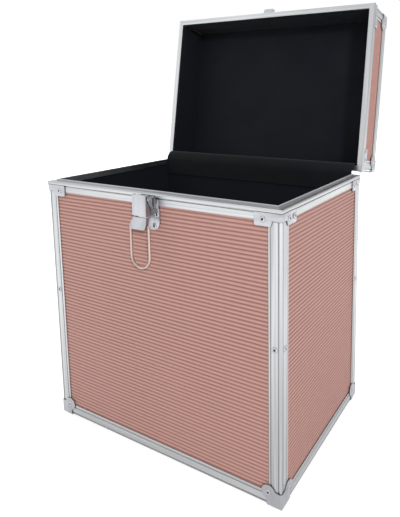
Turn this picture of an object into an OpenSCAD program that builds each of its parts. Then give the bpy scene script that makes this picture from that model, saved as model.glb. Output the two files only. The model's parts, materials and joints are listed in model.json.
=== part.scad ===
// Record carrying case: ribbed panels in an aluminium frame, hinged lid, draw latch and folding handle.
// The front is -Y and +Z is up. The origin is on the ground, under the middle of the body, and
// the case stands with its lid open and its latch undone. Millimetres.

/* [Case] */
// Width across the corner profiles
case_w = 340; // [300:1:420]
// Depth, front to back
case_d = 232; // [190:1:400]
// Height of the body from its base edge to its rim
body_h = 324; // [220:1:400]
// Height of the lid from its rim to its top edge
lid_h = 64; // [58:1:120]
// Gap between the two rims when the lid is shut
rim_gap = 0.4; // [0.3:0.1:1]
// Angle from shut to fully open
lid_open = 100; // [92:1:108]

/* [Walls] */
// Thickness of the wall, base and top boards
board_t = 3; // [2.5:0.5:8]
// Thickness of the outer sheet, ribs included
skin_t = 1.2; // [1:0.1:2]
// Height of a rib on the outer sheet
rib_h = 0.6; // [0.3:0.1:0.8]
// Spacing of the ribs
rib_pitch = 4.5; // [3:0.25:8]
// Thickness of the inner lining
lining_t = 2; // [1.5:0.25:3]

/* [Frame] */
// Thickness of the extruded profiles
profile_t = 1.5; // [1.3:0.1:2]
// Flange of the upright corner profiles
corner_flange = 15.5; // [14:0.5:20]
// Flange of the base and lid edge profiles
edge_flange = 15; // [13:0.5:17]
// Height of the rim profiles on the outside
rim_h = 13; // [12:0.5:15]
// Height of the rounded nosing along a rim
nosing_h = 4; // [3:0.25:5]
// How far the nosing stands out of the wall
nosing_out = 1.2; // [0.8:0.1:1.2]
// Height of the tongue on the body's rim
tongue_h = 2.2; // [1.5:0.1:3]
// Depth of the decorative grooves in the profiles
groove_d = 0.7; // [0.4:0.1:0.9]

/* [Corners] */
// Sheet thickness of the corner caps and brackets
cap_t = 1.2; // [0.8:0.1:1.5]
// Distance of a corner cap's ears from the edges next to them
ear_in = 15.5; // [14.5:0.5:18]
// Radius of a corner cap's ears
ear_r = 8.5; // [7:0.5:10]
// Leg of the rim corner brackets
bracket_leg = 32; // [28:1:40]
// Radius of a rivet head
rivet_r = 3.2; // [2.4:0.1:3.4]
// Height of a rivet head
rivet_h = 1.1; // [0.7:0.1:1.4]

/* [Latch] */
// Width of the latch base plate
latch_w = 32; // [30:1:44]
// Height of the latch base plate
latch_h = 37; // [35:1:60]
// Sheet thickness of the latch, the catch and the hinge leaves
plate_t = 1.5; // [1.2:0.1:1.6]
// Width of the lever
lever_w = 20; // [19:0.5:22]
// Height of the lever's front plate
lever_h = 24; // [22:0.5:27]
// Diameter of the bail wire
bail_wire = 3; // [2.4:0.1:3.2]
// Width of the hook on the lid
hook_w = 18; // [12:0.5:18]
// Height of the hook's seat over the lid's rim
hook_up = 7.4; // [7:0.2:10]

/* [Hinges] */
// Length of each hinge
hinge_l = 42; // [30:1:54]
// Distance of each hinge's middle from the side of the case
hinge_in = 72; // [64:1:120]
// Height of a hinge leaf
leaf_h = 38; // [32:1:42]
// Radius of the hinge barrels
barrel_r = 3; // [2.8:0.1:3.2]
// Radius of the hinge pins
hinge_pin_r = 1.5; // [1.2:0.1:1.8]
// Thickness of the cover strip over the hinge line
cover_t = 0.8; // [0.5:0.1:1.2]

/* [Handle] */
// Distance between the handle's two pivots
handle_w = 124; // [100:1:150]
// Height of the pivots over the lid's top edge
pivot_h = 9; // [9:0.5:13]
// Distance from the pivots to the middle of the grip
handle_rise = 34; // [30:0.5:44]
// Radius of the grip
grip_r = 9; // [8:0.25:9]

/* [Feet] */
// Height of the case's base edge over the ground
foot_h = 4; // [2.5:0.5:10]
// Radius of the feet
foot_r = 10; // [8:0.5:14]
// Distance of the feet from the outer faces of the case
foot_in = 38; // [34:1:60]

/* [Hidden] */

silver = [0.80, 0.81, 0.82];
steel = [0.70, 0.71, 0.73];
rose = [0.74, 0.56, 0.52];
black = [0.06, 0.06, 0.07];
birch = [0.70, 0.58, 0.42];
cream = [0.78, 0.74, 0.68];

// Walls are numbered round the case, and so are the corners at the end of each wall
FRONT = 0;
RIGHT = 1;
BACK = 2;
LEFT = 3;
CORNERS = [[1, -1], [1, 1], [-1, 1], [-1, -1]];
half_w = case_w / 2;
half_d = case_d / 2;

// Small clearance between pieces that never touch, and round a pin that turns
slip = 0.3;
pin_gap = 0.06;

// Wall build-up, measured inwards from the outer face of the profiles
board_in = profile_t + skin_t;
lining_in = board_in + board_t;
wall_t = lining_in + lining_t;

// Heights
base_z = foot_h;
rim_z = base_z + body_h;
lid_z = rim_z + rim_gap;
top_z = lid_z + lid_h;

// Profiles
bead_w = 2.6;
groove_w = 1.4;
arris_r = 2.2;
mitre_trim = 3;
post_gap = 0.2;

// Rims: the body's tongue passes inside the lid's lip, over the end of its lining
web_t = 1.5;
lid_lip_t = 1;
lid_lip_h = tongue_h + 0.8;
tongue_t = 1.5;
tongue_out = lining_in + lid_lip_t + 0.5;
tongue_in = tongue_out + tongue_t;
rim_lip_h = 6;

// Corner caps, brackets and rivets
cap_r = arris_r + cap_t;
cap_arm = ear_in + 2;
bracket_top = nosing_h + 0.1;
bracket_h = rim_h - nosing_h + 5;
bracket_notch_w = 11;
bracket_notch_h = 8;
post_rivet_in = 8;
post_rivet_up = 0.55;

// Latch: drops are down from the body's rim, outs are from the face of the profiles
plate_top = nosing_h + 0.8;
step_drop = rim_h + 2;
pin_out = 11;
pin_drop = 4;
latch_pin_r = 1.2;
lever_t = 1.2;
lever_top = -1;
lever_face = pin_out + 4.2;
lever_end = lever_top + lever_h;
cheek_r = 4.2;
cheek_back = 7;
cheek_in = lever_w / 2 - lever_t;
pivot_boss_r = 3;
ear_at = lever_w / 2 + slip;
latch_ear_t = 1.4;
latch_ear_r = 2.6;
latch_ear_top = 1.4;
latch_ear_low = 19;
bail_out = 15;
bail_drop = lever_end + 11;
bail_r = bail_wire / 2;
bail_half = ear_at + latch_ear_t + slip + bail_r;
bail_bend = 2.4;
lip_drop = bail_drop + 3.4;
lip_out = 20;
lip_slot = 1.7;
lip_half = bail_half - bail_r - 0.5;

// Catch: ups are from the lid's rim
catch_w = 26;
catch_h = 30;
hook_out = 8.8;
hook_t = 1.2;
hook_lip = 5.6;
hook_corner = 4;

// The bail's round end bears on the two corners of the hook's seat
bail_sag = sqrt(pow(bail_half - bail_r, 2) - pow(hook_w / 2, 2));
bail_lean = bail_out - (plate_t + hook_out - hook_t) / 2;
bail_reach = sqrt(pow(bail_drop + rim_gap + hook_up + slip, 2) + pow(bail_lean, 2));
bail_l = bail_reach + bail_half - bail_sag;

// Hinges
barrel_out = nosing_out + barrel_r + 0.4;
axis_y = half_d + barrel_out;
axis_z = rim_z + rim_gap / 2;
hinge_x = half_w - hinge_in;
knuckle = hinge_l / 3;
knuckle_l = knuckle - 0.4;
cover_in = barrel_out + tongue_in + 0.1;
cover_flap = 22;
cover_steps = 16;

// Handle: its rise hangs straight down while the lid stands open
handle_tilt = lid_open - 90;
bracket_w = 16;
bracket_l = 30;
fork_t = 2.5;
fork_r = 4.6;
arm_t = 7;
arm_r = 6;
handle_pin_r = 2.2;
finger_waves = 4;

// Feet
foot_z = foot_h + profile_t;
screw_r = 2;
screw_head_r = 3.8;
foot_bore_r = screw_head_r + 0.4;

function half_of(k) = k % 2 == 0 ? half_d : half_w;
function span_of(k) = k % 2 == 0 ? case_w : case_d;
function arc(c, r, a0, a1, n) = [for (i = [0:n]) let (a = a0 + (a1 - a0) * i / n) c + r * [cos(a), sin(a)]];
function swapped(p) = [for (i = [len(p) - 1:-1:0]) [p[i][1], p[i][0]]];

// A curve from p towards r, bending at q, without its last point
function sweep(p, q, r, n) = [for (i = [0:n - 1]) let (t = i / n)
    p * pow(1 - t, 2) + q * 2 * t * (1 - t) + r * pow(t, 2)];

// Outline of a plate w wide that hangs from top to low, with its lower corners rounded
function hung_plate(w, top, low, r) = concat(
    arc([w / 2 - 2, top - 2], 2, 0, 90, 4), arc([-w / 2 + 2, top - 2], 2, 90, 180, 4),
    arc([-w / 2 + r, low + r], r, 180, 270, 8), arc([w / 2 - r, low + r], r, 270, 360, 8));

// Turns the lid's pieces from shut to open
module on_lid() {
    translate([0, axis_y, axis_z]) rotate([-lid_open, 0, 0]) translate([0, -axis_y, -axis_z]) children();
}

// A wall's own frame: X along the wall, -Y out of it, 0 on the outer face of its profiles
module on_wall(k) {
    rotate([0, 0, 90 * k]) translate([0, -half_of(k), 0]) children();
}

// A corner's own frame: the case lies on the negative side of X and Y
module at_corner(c) {
    translate([c[0] * half_w, c[1] * half_d, 0]) mirror([c[0] < 0 ? 1 : 0, 0, 0])
        mirror([0, c[1] < 0 ? 1 : 0, 0]) children();
}

// Every corner at height z, the case being below it, or above it if up is false
module at_corners(z, up) {
    for (c = CORNERS) at_corner(c) translate([0, 0, z]) mirror([0, 0, up ? 0 : 1]) children();
}

// Runs a section drawn as (out, up) along a wall, from x = -length to 0
module run(length) {
    translate([-length, 0, 0]) rotate([90, 0, 90]) linear_extrude(length) mirror([1, 0]) children();
}

// The same, in the middle of the wall
module run_centred(length) {
    translate([length / 2, 0, 0]) run(length) children();
}

// An outline drawn as (along, up), made into a plate that reaches from out = 0 inwards and outwards
module wall_prism(deep, out) {
    translate([0, deep, 0]) rotate([90, 0, 0]) linear_extrude(deep + out) children();
}

// Cuts a run's two ends to a 45 degree mitre, whose tip is trimmed back by trim
module mitred(k, z0, z1, trim) {
    out = 5;
    in = 25;
    half = span_of(k) / 2;
    tip = max(trim, -out);
    intersection() {
        children();
        translate([0, 0, z0]) linear_extrude(z1 - z0) polygon([[-half + tip, -out], [half - tip, -out],
            [half - tip, tip], [half - in, in], [-half + in, in], [-half + tip, tip]]);
    }
}

// ---- Panels ----

module wall_board(k, z0, z1) {
    length = k % 2 == 0 ? case_w - 2 * board_in : case_d - 2 * lining_in;
    color(birch) on_wall(k) translate([-length / 2, board_in, z0]) cube([length, board_t, z1 - z0]);
}

module flat_board(z0) {
    color(birch) translate([-half_w + board_in, -half_d + board_in, z0])
        cube([case_w - 2 * board_in, case_d - 2 * board_in, board_t]);
}

// Section of a ribbed sheet of this height, whose ribs reach out to 0
function ribbed(height) = let (n = floor((height - 1) / rib_pitch), first = (height - (n - 1) * rib_pitch) / 2)
    concat([[-skin_t, 0], [-rib_h, 0]],
        [for (i = [0:n - 1], q = [[-0.32, -rib_h], [-0.2, 0], [0.2, 0], [0.32, -rib_h]])
            [q[1], first + (i + q[0]) * rib_pitch]],
        [[-rib_h, height], [-skin_t, height]]);

module wall_skin(k, z0, z1) {
    length = k % 2 == 0 ? case_w - 2 * profile_t : case_d - 2 * board_in;
    color(rose) on_wall(k) translate([0, profile_t, z0]) run_centred(length) polygon(ribbed(z1 - z0));
}

// A level sheet with its ribs pointing down to z = 0
module flat_skin() {
    color(rose) translate([0, half_d - board_in, 0]) rotate([90, 0, 0])
        run_centred(case_w - 2 * board_in) polygon(ribbed(case_d - 2 * board_in));
}

module wall_lining(k, z0, z1) {
    length = k % 2 == 0 ? case_w - 2 * lining_in : case_d - 2 * wall_t;
    color(black) on_wall(k) translate([-length / 2, lining_in, z0]) cube([length, lining_t, z1 - z0]);
}

module flat_lining(z0) {
    color(black) translate([-half_w + lining_in, -half_d + lining_in, z0])
        cube([case_w - 2 * lining_in, case_d - 2 * lining_in, lining_t]);
}

module body_board(k) wall_board(k, base_z + lining_in, rim_z - web_t);
module base_board() flat_board(base_z + board_in);
module body_skin(k) wall_skin(k, base_z + profile_t, rim_z - web_t);
module base_skin() translate([0, 0, base_z + profile_t]) flat_skin();
module wall_linings() for (k = [0:3]) wall_lining(k, base_z + wall_t, rim_z - rim_lip_h);
module floor_lining() flat_lining(base_z + lining_in);

module lid_side_boards() for (k = [0:3]) wall_board(k, lid_z + web_t, top_z - lining_in);
module lid_top_board() flat_board(top_z - lining_in);
module lid_side_skins() for (k = [0:3]) wall_skin(k, lid_z + web_t, top_z - profile_t);
module lid_top_skin() translate([0, 0, top_z - profile_t]) mirror([0, 0, 1]) flat_skin();

module lid_linings() {
    for (k = [0:3]) wall_lining(k, lid_z + lid_lip_h, top_z - wall_t);
    flat_lining(top_z - wall_t);
}

// ---- Frame ----

// Outer side of a flange w wide: bead, groove, flat band and the groove beside the arris
function flange(w) = [[-w, -profile_t], [-w, -0.5], [-w + 0.5, -0.1], [-w + bead_w - 0.3, -0.1],
    [-w + bead_w, -groove_d], [-w + bead_w + groove_w - 0.3, -groove_d], [-w + bead_w + groove_w, 0],
    [-arris_r - groove_w - 0.6, 0], [-arris_r - groove_w - 0.3, -groove_d], [-arris_r - 0.4, -groove_d],
    [-arris_r - 0.1, 0]];

// Angle section with its outer corner at the origin
module angle_section(w) {
    polygon(concat(flange(w), arc([-arris_r, -arris_r], arris_r, 90, 0, 6), swapped(flange(w)),
        [[-profile_t, -profile_t]]));
}

module post(i, z0, z1) {
    color(silver) at_corner(CORNERS[i]) translate([0, 0, z0]) linear_extrude(z1 - z0)
        angle_section(corner_flange);
}

// Edge profile of a wall, with the case below it
module edge_profile(k) {
    color(silver) on_wall(k) mitred(k, -edge_flange, 1, mitre_trim) run_centred(span_of(k)) angle_section(edge_flange);
}

module corner_profile(i) post(i, base_z + edge_flange + post_gap, rim_z - rim_h);
module base_edge(k) translate([0, 0, base_z]) mirror([0, 0, 1]) edge_profile(k);
module lid_corner_profiles() for (i = [0:3]) post(i, lid_z + rim_h, top_z - edge_flange - post_gap);
module lid_edge(k) translate([0, 0, top_z]) edge_profile(k);

// Outer flange of a rim, drawn down from its top at (0, 0)
rim_flange = [[-profile_t, -rim_h], [-0.4, -rim_h], [0, -rim_h + 0.4], [0, -nosing_h - groove_w],
    [-groove_d, -nosing_h - groove_w + 0.3], [-groove_d, -nosing_h - 0.1], [0, -nosing_h],
    [nosing_out - 0.5, -nosing_h], [nosing_out, -nosing_h + 0.6], [nosing_out, -1.2],
    [nosing_out - 0.4, -0.4], [nosing_out - 1.1, 0]];

// The body's rim: a channel over the wall, with its tongue, if any, at the inner edge
module body_rim_section(tongue) {
    edge = tongue > 0
        ? [[-tongue_out, tongue - 0.4], [-tongue_out - 0.4, tongue], [-tongue_in + 0.4, tongue], [-tongue_in, tongue - 0.4]]
        : [[-tongue_in, 0]];
    polygon(concat(rim_flange, tongue > 0 ? [[-tongue_out, 0]] : [], edge, [[-tongue_in, -rim_lip_h],
        [-tongue_out, -rim_lip_h], [-tongue_out, -web_t], [-profile_t, -web_t]]));
}

// The lid's rim: a channel over the board, ending outside the tongue
module lid_rim_section() {
    lip_in = lining_in + lid_lip_t;
    polygon(concat(rim_flange, [[-lip_in + 0.3, 0], [-lip_in, -0.3], [-lip_in, -lid_lip_h],
        [-lining_in, -lid_lip_h], [-lining_in, -web_t], [-profile_t, -web_t]]));
}

module body_rim(k) {
    color(silver) on_wall(k) translate([0, 0, rim_z]) mitred(k, -rim_h, tongue_h + 1, -nosing_out)
        run_centred(span_of(k) + 2 * nosing_out) body_rim_section(k == BACK ? 0 : tongue_h);
}

module lid_rim(k) {
    color(silver) on_wall(k) translate([0, 0, lid_z]) mirror([0, 0, 1]) mitred(k, -rim_h, 1, -nosing_out)
        run_centred(span_of(k) + 2 * nosing_out) lid_rim_section();
}

// ---- Corner hardware ----

// A blind rivet's hollow head, standing on z = 0
module rivet() {
    color(steel) rotate_extrude($fn = 32) polygon(concat([[0, 0], [rivet_r, 0]],
        [for (i = [0:5]) [rivet_r * (0.35 + 0.65 * cos(i * 18)), rivet_h * (0.15 + 0.85 * sin(i * 18))]],
        [[0.3 * rivet_r, 0.4 * rivet_h], [0, 0.4 * rivet_h]]));
}

// A rivet on the +Y or the +X face of a corner's frame, or on a wall
module rivet_y() rotate([-90, 0, 0]) rivet();
module rivet_x() rotate([0, 90, 0]) rivet();
module wall_rivet(u, z) translate([u, 0, z]) rotate([90, 0, 0]) rivet();

// Square column along Z whose outer corner reaches t and is rounded
module rounded_column(t, r, size) {
    linear_extrude(size + t) polygon(concat([[-size, -size], [t, -size]],
        arc([t - r, t - r], r, 0, 90, 6), [[-size, t]]));
}

// Block that fills the negative octant and reaches t, with its three edges rounded
module rounded_vertex(t, r) {
    size = 40;
    intersection() {
        translate([0, 0, -size]) rounded_column(t, r, size);
        translate([-size, 0, 0]) rotate([0, 90, 0]) mirror([1, 0, 0]) rounded_column(t, r, size);
        translate([0, -size, 0]) rotate([-90, 0, 0]) mirror([0, 1, 0]) rounded_column(t, r, size);
    }
}

// One face of a cap, drawn inwards from the corner: a round ear that sweeps in to the two edges
module cap_face() {
    start = [ear_in, ear_in] + ear_r * [cos(-70), sin(-70)];
    bend = [cap_arm, start[1] - (start[0] - cap_arm) * tan(20)];
    side = concat([[cap_arm, -cap_t]], sweep([cap_arm, 0], bend, start, 5));
    mirror([1, 0]) mirror([0, 1]) polygon(concat([[-cap_t, -cap_t]], side,
        arc([ear_in, ear_in], ear_r, -70, 160, 14), swapped(side)));
}

// A three-eared cap over an outer corner at the origin
module corner_cap() {
    deep = cap_r + 1;
    color(steel) intersection() {
        difference() {
            rounded_vertex(cap_t, cap_r);
            rounded_vertex(0, arris_r);
        }
        union() {
            translate([0, 0, -deep]) linear_extrude(deep + cap_t) cap_face();
            translate([-deep, 0, 0]) rotate([90, 0, 90]) linear_extrude(deep + cap_t) cap_face();
            translate([0, -deep, 0]) rotate([90, 0, 0]) mirror([0, 0, 1]) linear_extrude(deep + cap_t) cap_face();
        }
    }
}

module cap_rivets() {
    translate([-ear_in, -ear_in, cap_t]) rivet();
    translate([-ear_in, cap_t, -ear_in]) rivet_y();
    translate([cap_t, -ear_in, -ear_in]) rivet_x();
}

// Outline of one leg of a rim bracket, from the corner at (0, 0), notched at the arris
module bracket_outline() {
    polygon(concat([[0, 0], [0, -bracket_notch_h], [-bracket_notch_w, -bracket_notch_h],
        [-bracket_notch_w - 2, -bracket_h]], arc([-bracket_leg + 2, -bracket_h + 2], 2, 270, 180, 4),
        arc([-bracket_leg + 1.5, -1.5], 1.5, 180, 90, 3)));
}

// A bracket round the corner of a rim whose top is at z = 0
module rim_bracket() {
    leg_r = cap_t + 0.8;
    color(steel) translate([0, 0, -bracket_top]) difference() {
        union() {
            translate([cap_t, 0, 0]) rotate([90, 0, 0]) mirror([0, 0, 1]) linear_extrude(cap_t) bracket_outline();
            translate([0, cap_t, 0]) mirror([1, -1, 0]) rotate([90, 0, 0]) mirror([0, 0, 1])
                linear_extrude(cap_t) bracket_outline();
        }
        translate([0, 0, -bracket_h - 1]) linear_extrude(bracket_h + 2)
            polygon(concat([[5, 5], [cap_t + 0.1, cap_t - leg_r]], arc([cap_t - leg_r, cap_t - leg_r], leg_r, 0, 90, 5),
                [[cap_t - leg_r, cap_t + 0.1]]));
    }
}

module bracket_rivets() {
    drop = bracket_top + bracket_h / 2;
    translate([-bracket_leg + 11, cap_t, -drop]) rivet_y();
    for (u = [5, 17]) translate([cap_t, -bracket_leg + u, -drop]) rivet_x();
}

module base_corner_caps() at_corners(base_z, false) corner_cap();
module rim_corner_brackets() at_corners(rim_z, true) rim_bracket();
module lid_corner_caps() at_corners(top_z, true) corner_cap();
module lid_rim_brackets() at_corners(lid_z, false) rim_bracket();

// Rivets of the hinge leaves on the body (side -1) or on the lid (side 1)
module leaf_rivets(side) {
    rim = side < 0 ? rim_z : lid_z;
    on_wall(BACK) for (s = [-1, 1], q = [-1, 1])
        translate([0, profile_t - plate_t, 0]) wall_rivet(s * hinge_x + q * (hinge_l / 2 - 7), rim + side * (leaf_h - 9));
}

module body_rivets() {
    at_corners(base_z, false) cap_rivets();
    at_corners(rim_z, true) bracket_rivets();
    for (k = [0:3], s = [-1, 1])
        on_wall(k) wall_rivet(s * (span_of(k) / 2 - post_rivet_in), base_z + body_h * post_rivet_up);
    leaf_rivets(-1);
}

module lid_rivets() {
    at_corners(top_z, true) cap_rivets();
    at_corners(lid_z, false) bracket_rivets();
    leaf_rivets(1);
    on_wall(FRONT) for (s = [-1, 1])
        translate([0, profile_t - plate_t, 0]) wall_rivet(s * (catch_w / 2 - 5), lid_z + catch_h - 6);
    for (s = [-1, 1], q = [-1, 1])
        translate([s * handle_w / 2, q * (bracket_l / 2 - 3.5), top_z - profile_t + plate_t]) rivet();
}

// ---- Latch ----

// Section of a plate that lies on the rim's flange from top, and steps in to the sheet below it
function stepped_plate(top, low) = [[0, -top], [plate_t, -top], [plate_t, -step_drop],
    [plate_t - profile_t, -step_drop - profile_t], [plate_t - profile_t, -low], [-profile_t, -low],
    [-profile_t, -rim_h - 2], [0, -rim_h - 0.5]];

// One upright ear, from x = 0 to its thickness, with a window beside the lever
module latch_ear() {
    face = plate_t - 0.1;
    translate([latch_ear_t, 0, 0]) run(latch_ear_t) difference() {
        polygon(concat([[face, -latch_ear_low], [face, -plate_top], [3.5, -latch_ear_top]],
            arc([pin_out, -pin_drop], latch_ear_r, 90, -50, 10),
            [[8.6, -latch_ear_low + 5], [6, -latch_ear_low]]));
        polygon([[3.3, -latch_ear_low + 3], [6.3, -latch_ear_low + 3], [6.3, -latch_ear_top - 2.2],
            [3.3, -latch_ear_top - 2.2]]);
    }
}

module latch_base() {
    low = plate_top + latch_h;
    color(steel) on_wall(FRONT) translate([0, 0, rim_z]) difference() {
        union() {
            intersection() {
                run_centred(latch_w) polygon(stepped_plate(plate_top, low));
                wall_prism(5, 5) polygon(hung_plate(latch_w, -plate_top, -low, 10));
            }
            for (x = [ear_at, -ear_at - latch_ear_t]) translate([x, 0, 0]) latch_ear();
        }
        translate([0, -pin_out, -pin_drop]) rotate([0, 90, 0])
            cylinder(r = latch_pin_r, h = 2 * latch_w, center = true, $fn = 32);
    }
}

module latch_pin() {
    color(steel) on_wall(FRONT) translate([0, -pin_out, rim_z - pin_drop]) rotate([0, 90, 0])
        cylinder(r = latch_pin_r, h = 2 * (ear_at + latch_ear_t), center = true, $fn = 32);
}

module latch_rivets() {
    on_wall(FRONT) translate([0, profile_t - plate_t, rim_z - plate_top - latch_h]) for (s = [-1, 1]) {
        wall_rivet(s * (latch_w / 2 - 3.6), latch_h / 2);
        wall_rivet(s * latch_w / 4, 5);
    }
}

// Side of the lever: it holds the lever's pin at the top and the bail's pivot below
function cheek() = concat([[lever_face - 0.6, -lever_top], [pin_out, -lever_top]],
    arc([pin_out, -pin_drop], cheek_r, 120, 200, 8),
    [[cheek_back, -pin_drop - 5], [cheek_back, -lever_end + 1]],
    arc([bail_out, -bail_drop], pivot_boss_r, 180, 320, 8),
    [[lever_face - 1.6, -lever_end - 1.5], [lever_face - 0.6, -lever_end + 1]]);

// The lip that a thumb lifts: it flares out below the lever's front plate
module lever_lip() {
    root = lever_face - 1.2;
    intersection() {
        run_centred(2 * lip_half) polygon([[root - 1.4, -lever_end + 2], [root, -lever_end + 2],
            [root + 0.1, -lever_end - 1], [lip_out - 0.3, -lip_drop + 1.2], [lip_out, -lip_drop + 0.4],
            [lip_out - 0.6, -lip_drop], [lip_out - 1.7, -lip_drop + 0.6], [root - 1.4, -lever_end - 1.2]]);
        wall_prism(5, 30) polygon([[-cheek_in - 0.6, -lever_end + 3], [-cheek_in - 0.6, -lever_end - 1],
            [-lip_half, -lip_drop + 6], [-lip_half, -lip_drop + 2], [-lip_half + 2, -lip_drop],
            [lip_half - 2, -lip_drop], [lip_half, -lip_drop + 2], [lip_half, -lip_drop + 6],
            [cheek_in + 0.6, -lever_end - 1], [cheek_in + 0.6, -lever_end + 3]]);
    }
}

module latch_lever() {
    color(steel) on_wall(FRONT) translate([0, 0, rim_z]) difference() {
        union() {
            for (x = [lever_w / 2, -cheek_in]) translate([x, 0, 0]) run(lever_t) polygon(cheek());
            run_centred(lever_w) polygon([[lever_face - lever_t, -lever_top], [lever_face - 0.5, -lever_top],
                [lever_face, -lever_top - 0.5], [lever_face, -lever_end], [lever_face - lever_t, -lever_end]]);
            lever_lip();
        }
        // Slot between the front plate and the lip
        translate([-latch_w, -lip_out, -lever_end - lip_slot]) cube([2 * latch_w, lip_out - lever_face + 2.8, lip_slot]);
        translate([0, -pin_out, -pin_drop]) rotate([0, 90, 0])
            cylinder(r = latch_pin_r + pin_gap, h = 2 * latch_w, center = true, $fn = 32);
        translate([0, -bail_out, -bail_drop]) rotate([0, 90, 0])
            cylinder(r = bail_r + pin_gap, h = 2 * latch_w, center = true, $fn = 32);
    }
}

// One side of the bail, hanging from its pivot: stub in the lever, bend and leg
module bail_side() {
    stub = bail_half - bail_bend - cheek_in + slip;
    translate([cheek_in - slip, 0, 0]) rotate([0, 90, 0]) cylinder(r = bail_r, h = stub, $fn = 32);
    translate([bail_half - bail_bend, 0, -bail_bend]) rotate([90, 0, 0])
        rotate_extrude(angle = 90, $fn = 32) translate([bail_bend, 0]) circle(r = bail_r, $fn = 32);
    translate([bail_half, 0, -bail_l + bail_half])
        cylinder(r = bail_r, h = bail_l - bail_half - bail_bend, $fn = 32);
}

module latch_bail() {
    color(cream) on_wall(FRONT) translate([0, -bail_out, rim_z - bail_drop]) {
        bail_side();
        mirror([1, 0, 0]) bail_side();
        translate([0, 0, -bail_l + bail_half]) rotate([90, 0, 0]) rotate([0, 0, 180])
            rotate_extrude(angle = 180, $fn = 48) translate([bail_half, 0]) circle(r = bail_r, $fn = 32);
    }
}

// Catch on the lid's front: a plate with an upturned hook
module lid_catch() {
    seat = hook_up - plate_t;
    top = hook_up + hook_lip;
    color(steel) on_wall(FRONT) translate([0, 0, lid_z]) {
        mirror([0, 0, 1]) intersection() {
            run_centred(catch_w) polygon(stepped_plate(plate_top, catch_h));
            wall_prism(5, 5) polygon(hung_plate(catch_w, -plate_top, -catch_h, 6));
        }
        intersection() {
            run_centred(hook_w) polygon([[plate_t - 0.1, seat], [hook_out - 0.6, seat], [hook_out, seat + 0.6],
                [hook_out, top - 0.4], [hook_out - 0.4, top], [hook_out - hook_t + 0.4, top],
                [hook_out - hook_t, top - 0.4], [hook_out - hook_t, hook_up], [plate_t - 0.1, hook_up]]);
            translate([0, 0, seat - 1]) linear_extrude(top - seat + 2) mirror([0, 1]) polygon(concat([[hook_w / 2, 0]],
                arc([hook_w / 2 - hook_corner, hook_out - hook_corner], hook_corner, 0, 90, 6),
                arc([-hook_w / 2 + hook_corner, hook_out - hook_corner], hook_corner, 90, 180, 6),
                [[-hook_w / 2, 0]]));
        }
    }
}

// ---- Hinges ----

module at_hinges() {
    for (s = [-1, 1]) translate([s * hinge_x, axis_y, axis_z]) children();
}

// The leaf below a hinge's axis, with the knuckles that it owns
module hinge_leaf(knuckles) {
    rim = axis_z - rim_z;
    difference() {
        union() {
            mirror([0, 1, 0]) translate([0, barrel_out, -rim]) run_centred(hinge_l)
                polygon(stepped_plate(plate_top, leaf_h));
            for (k = knuckles) translate([k * knuckle, 0, 0]) {
                rotate([0, 90, 0]) cylinder(r = barrel_r, h = knuckle_l, center = true, $fn = 40);
                mirror([0, 1, 0]) translate([0, barrel_out, -rim]) run_centred(knuckle_l)
                    polygon([[0.1, -plate_top - 2], [0.1, -plate_top + 0.1], [nosing_out + slip, -nosing_h + 0.1],
                        [nosing_out + 0.5, -1.6], [barrel_out, -1.8], [barrel_out + 2, -2.4],
                        [plate_t, -plate_top - 2]]);
            }
        }
        rotate([0, 90, 0]) cylinder(r = hinge_pin_r + pin_gap, h = 2 * hinge_l, center = true, $fn = 40);
    }
}

module hinge_body_leaves() {
    color(steel) at_hinges() hinge_leaf([-1, 1]);
}

module hinge_lid_leaves() {
    color(steel) at_hinges() mirror([0, 0, 1]) hinge_leaf([0]);
}

module hinge_pins() {
    color(steel) at_hinges() rotate([0, 90, 0]) cylinder(r = hinge_pin_r, h = hinge_l, center = true, $fn = 40);
}

// Cloth strip from the body's lining to the open lid's, bent round the hinge axis
module hinge_cover() {
    bend = [for (i = [0:cover_steps]) let (a = 180 - lid_open * i / cover_steps) [cos(a), sin(a)]];
    flap = [cos(90 - lid_open), sin(90 - lid_open)] * cover_flap;
    far = cover_in + cover_t;
    last = bend[cover_steps];
    color(black) translate([0, axis_y, axis_z]) mirror([0, 1, 0]) run_centred(case_w - 2 * wall_t - 2)
        polygon(concat([[-far, -cover_flap], [-cover_in, -cover_flap]], cover_in * bend,
            [cover_in * last + flap, far * last + flap], [for (i = [cover_steps:-1:0]) far * bend[i]]));
}

// ---- Feet ----

module at_feet() {
    for (c = CORNERS) translate([c[0] * (half_w - foot_in), c[1] * (half_d - foot_in), 0]) children();
}

module feet() {
    color(black) at_feet() difference() {
        rotate_extrude($fn = 48) polygon([[0, 0], [foot_r - 1.2, 0], [foot_r - 0.4, 0.5], [foot_r, 1.3],
            [foot_r + 0.6, foot_z], [0, foot_z]]);
        translate([0, 0, -1]) cylinder(r = foot_bore_r, h = foot_z / 2 + 1, $fn = 32);
        cylinder(r = screw_r, h = foot_z + 1, $fn = 32);
    }
}

module foot_screws() {
    color(steel) at_feet() difference() {
        union() {
            translate([0, 0, foot_z / 2 - 1.6]) cylinder(r = screw_head_r, h = 1.6, $fn = 32);
            translate([0, 0, foot_z / 2 - 0.1]) cylinder(r = screw_r, h = foot_z / 2 + 0.1, $fn = 32);
        }
        for (a = [0, 90]) rotate([0, 0, a]) translate([-2.2, -0.4, foot_z / 2 - 2]) cube([4.4, 0.8, 1.2]);
    }
}

// ---- Handle ----

// The pivot line of the handle, at each of its two ends
module at_handle_pivots() {
    for (s = [-1, 1]) translate([s * handle_w / 2, 0, top_z + pivot_h]) children();
}

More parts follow.
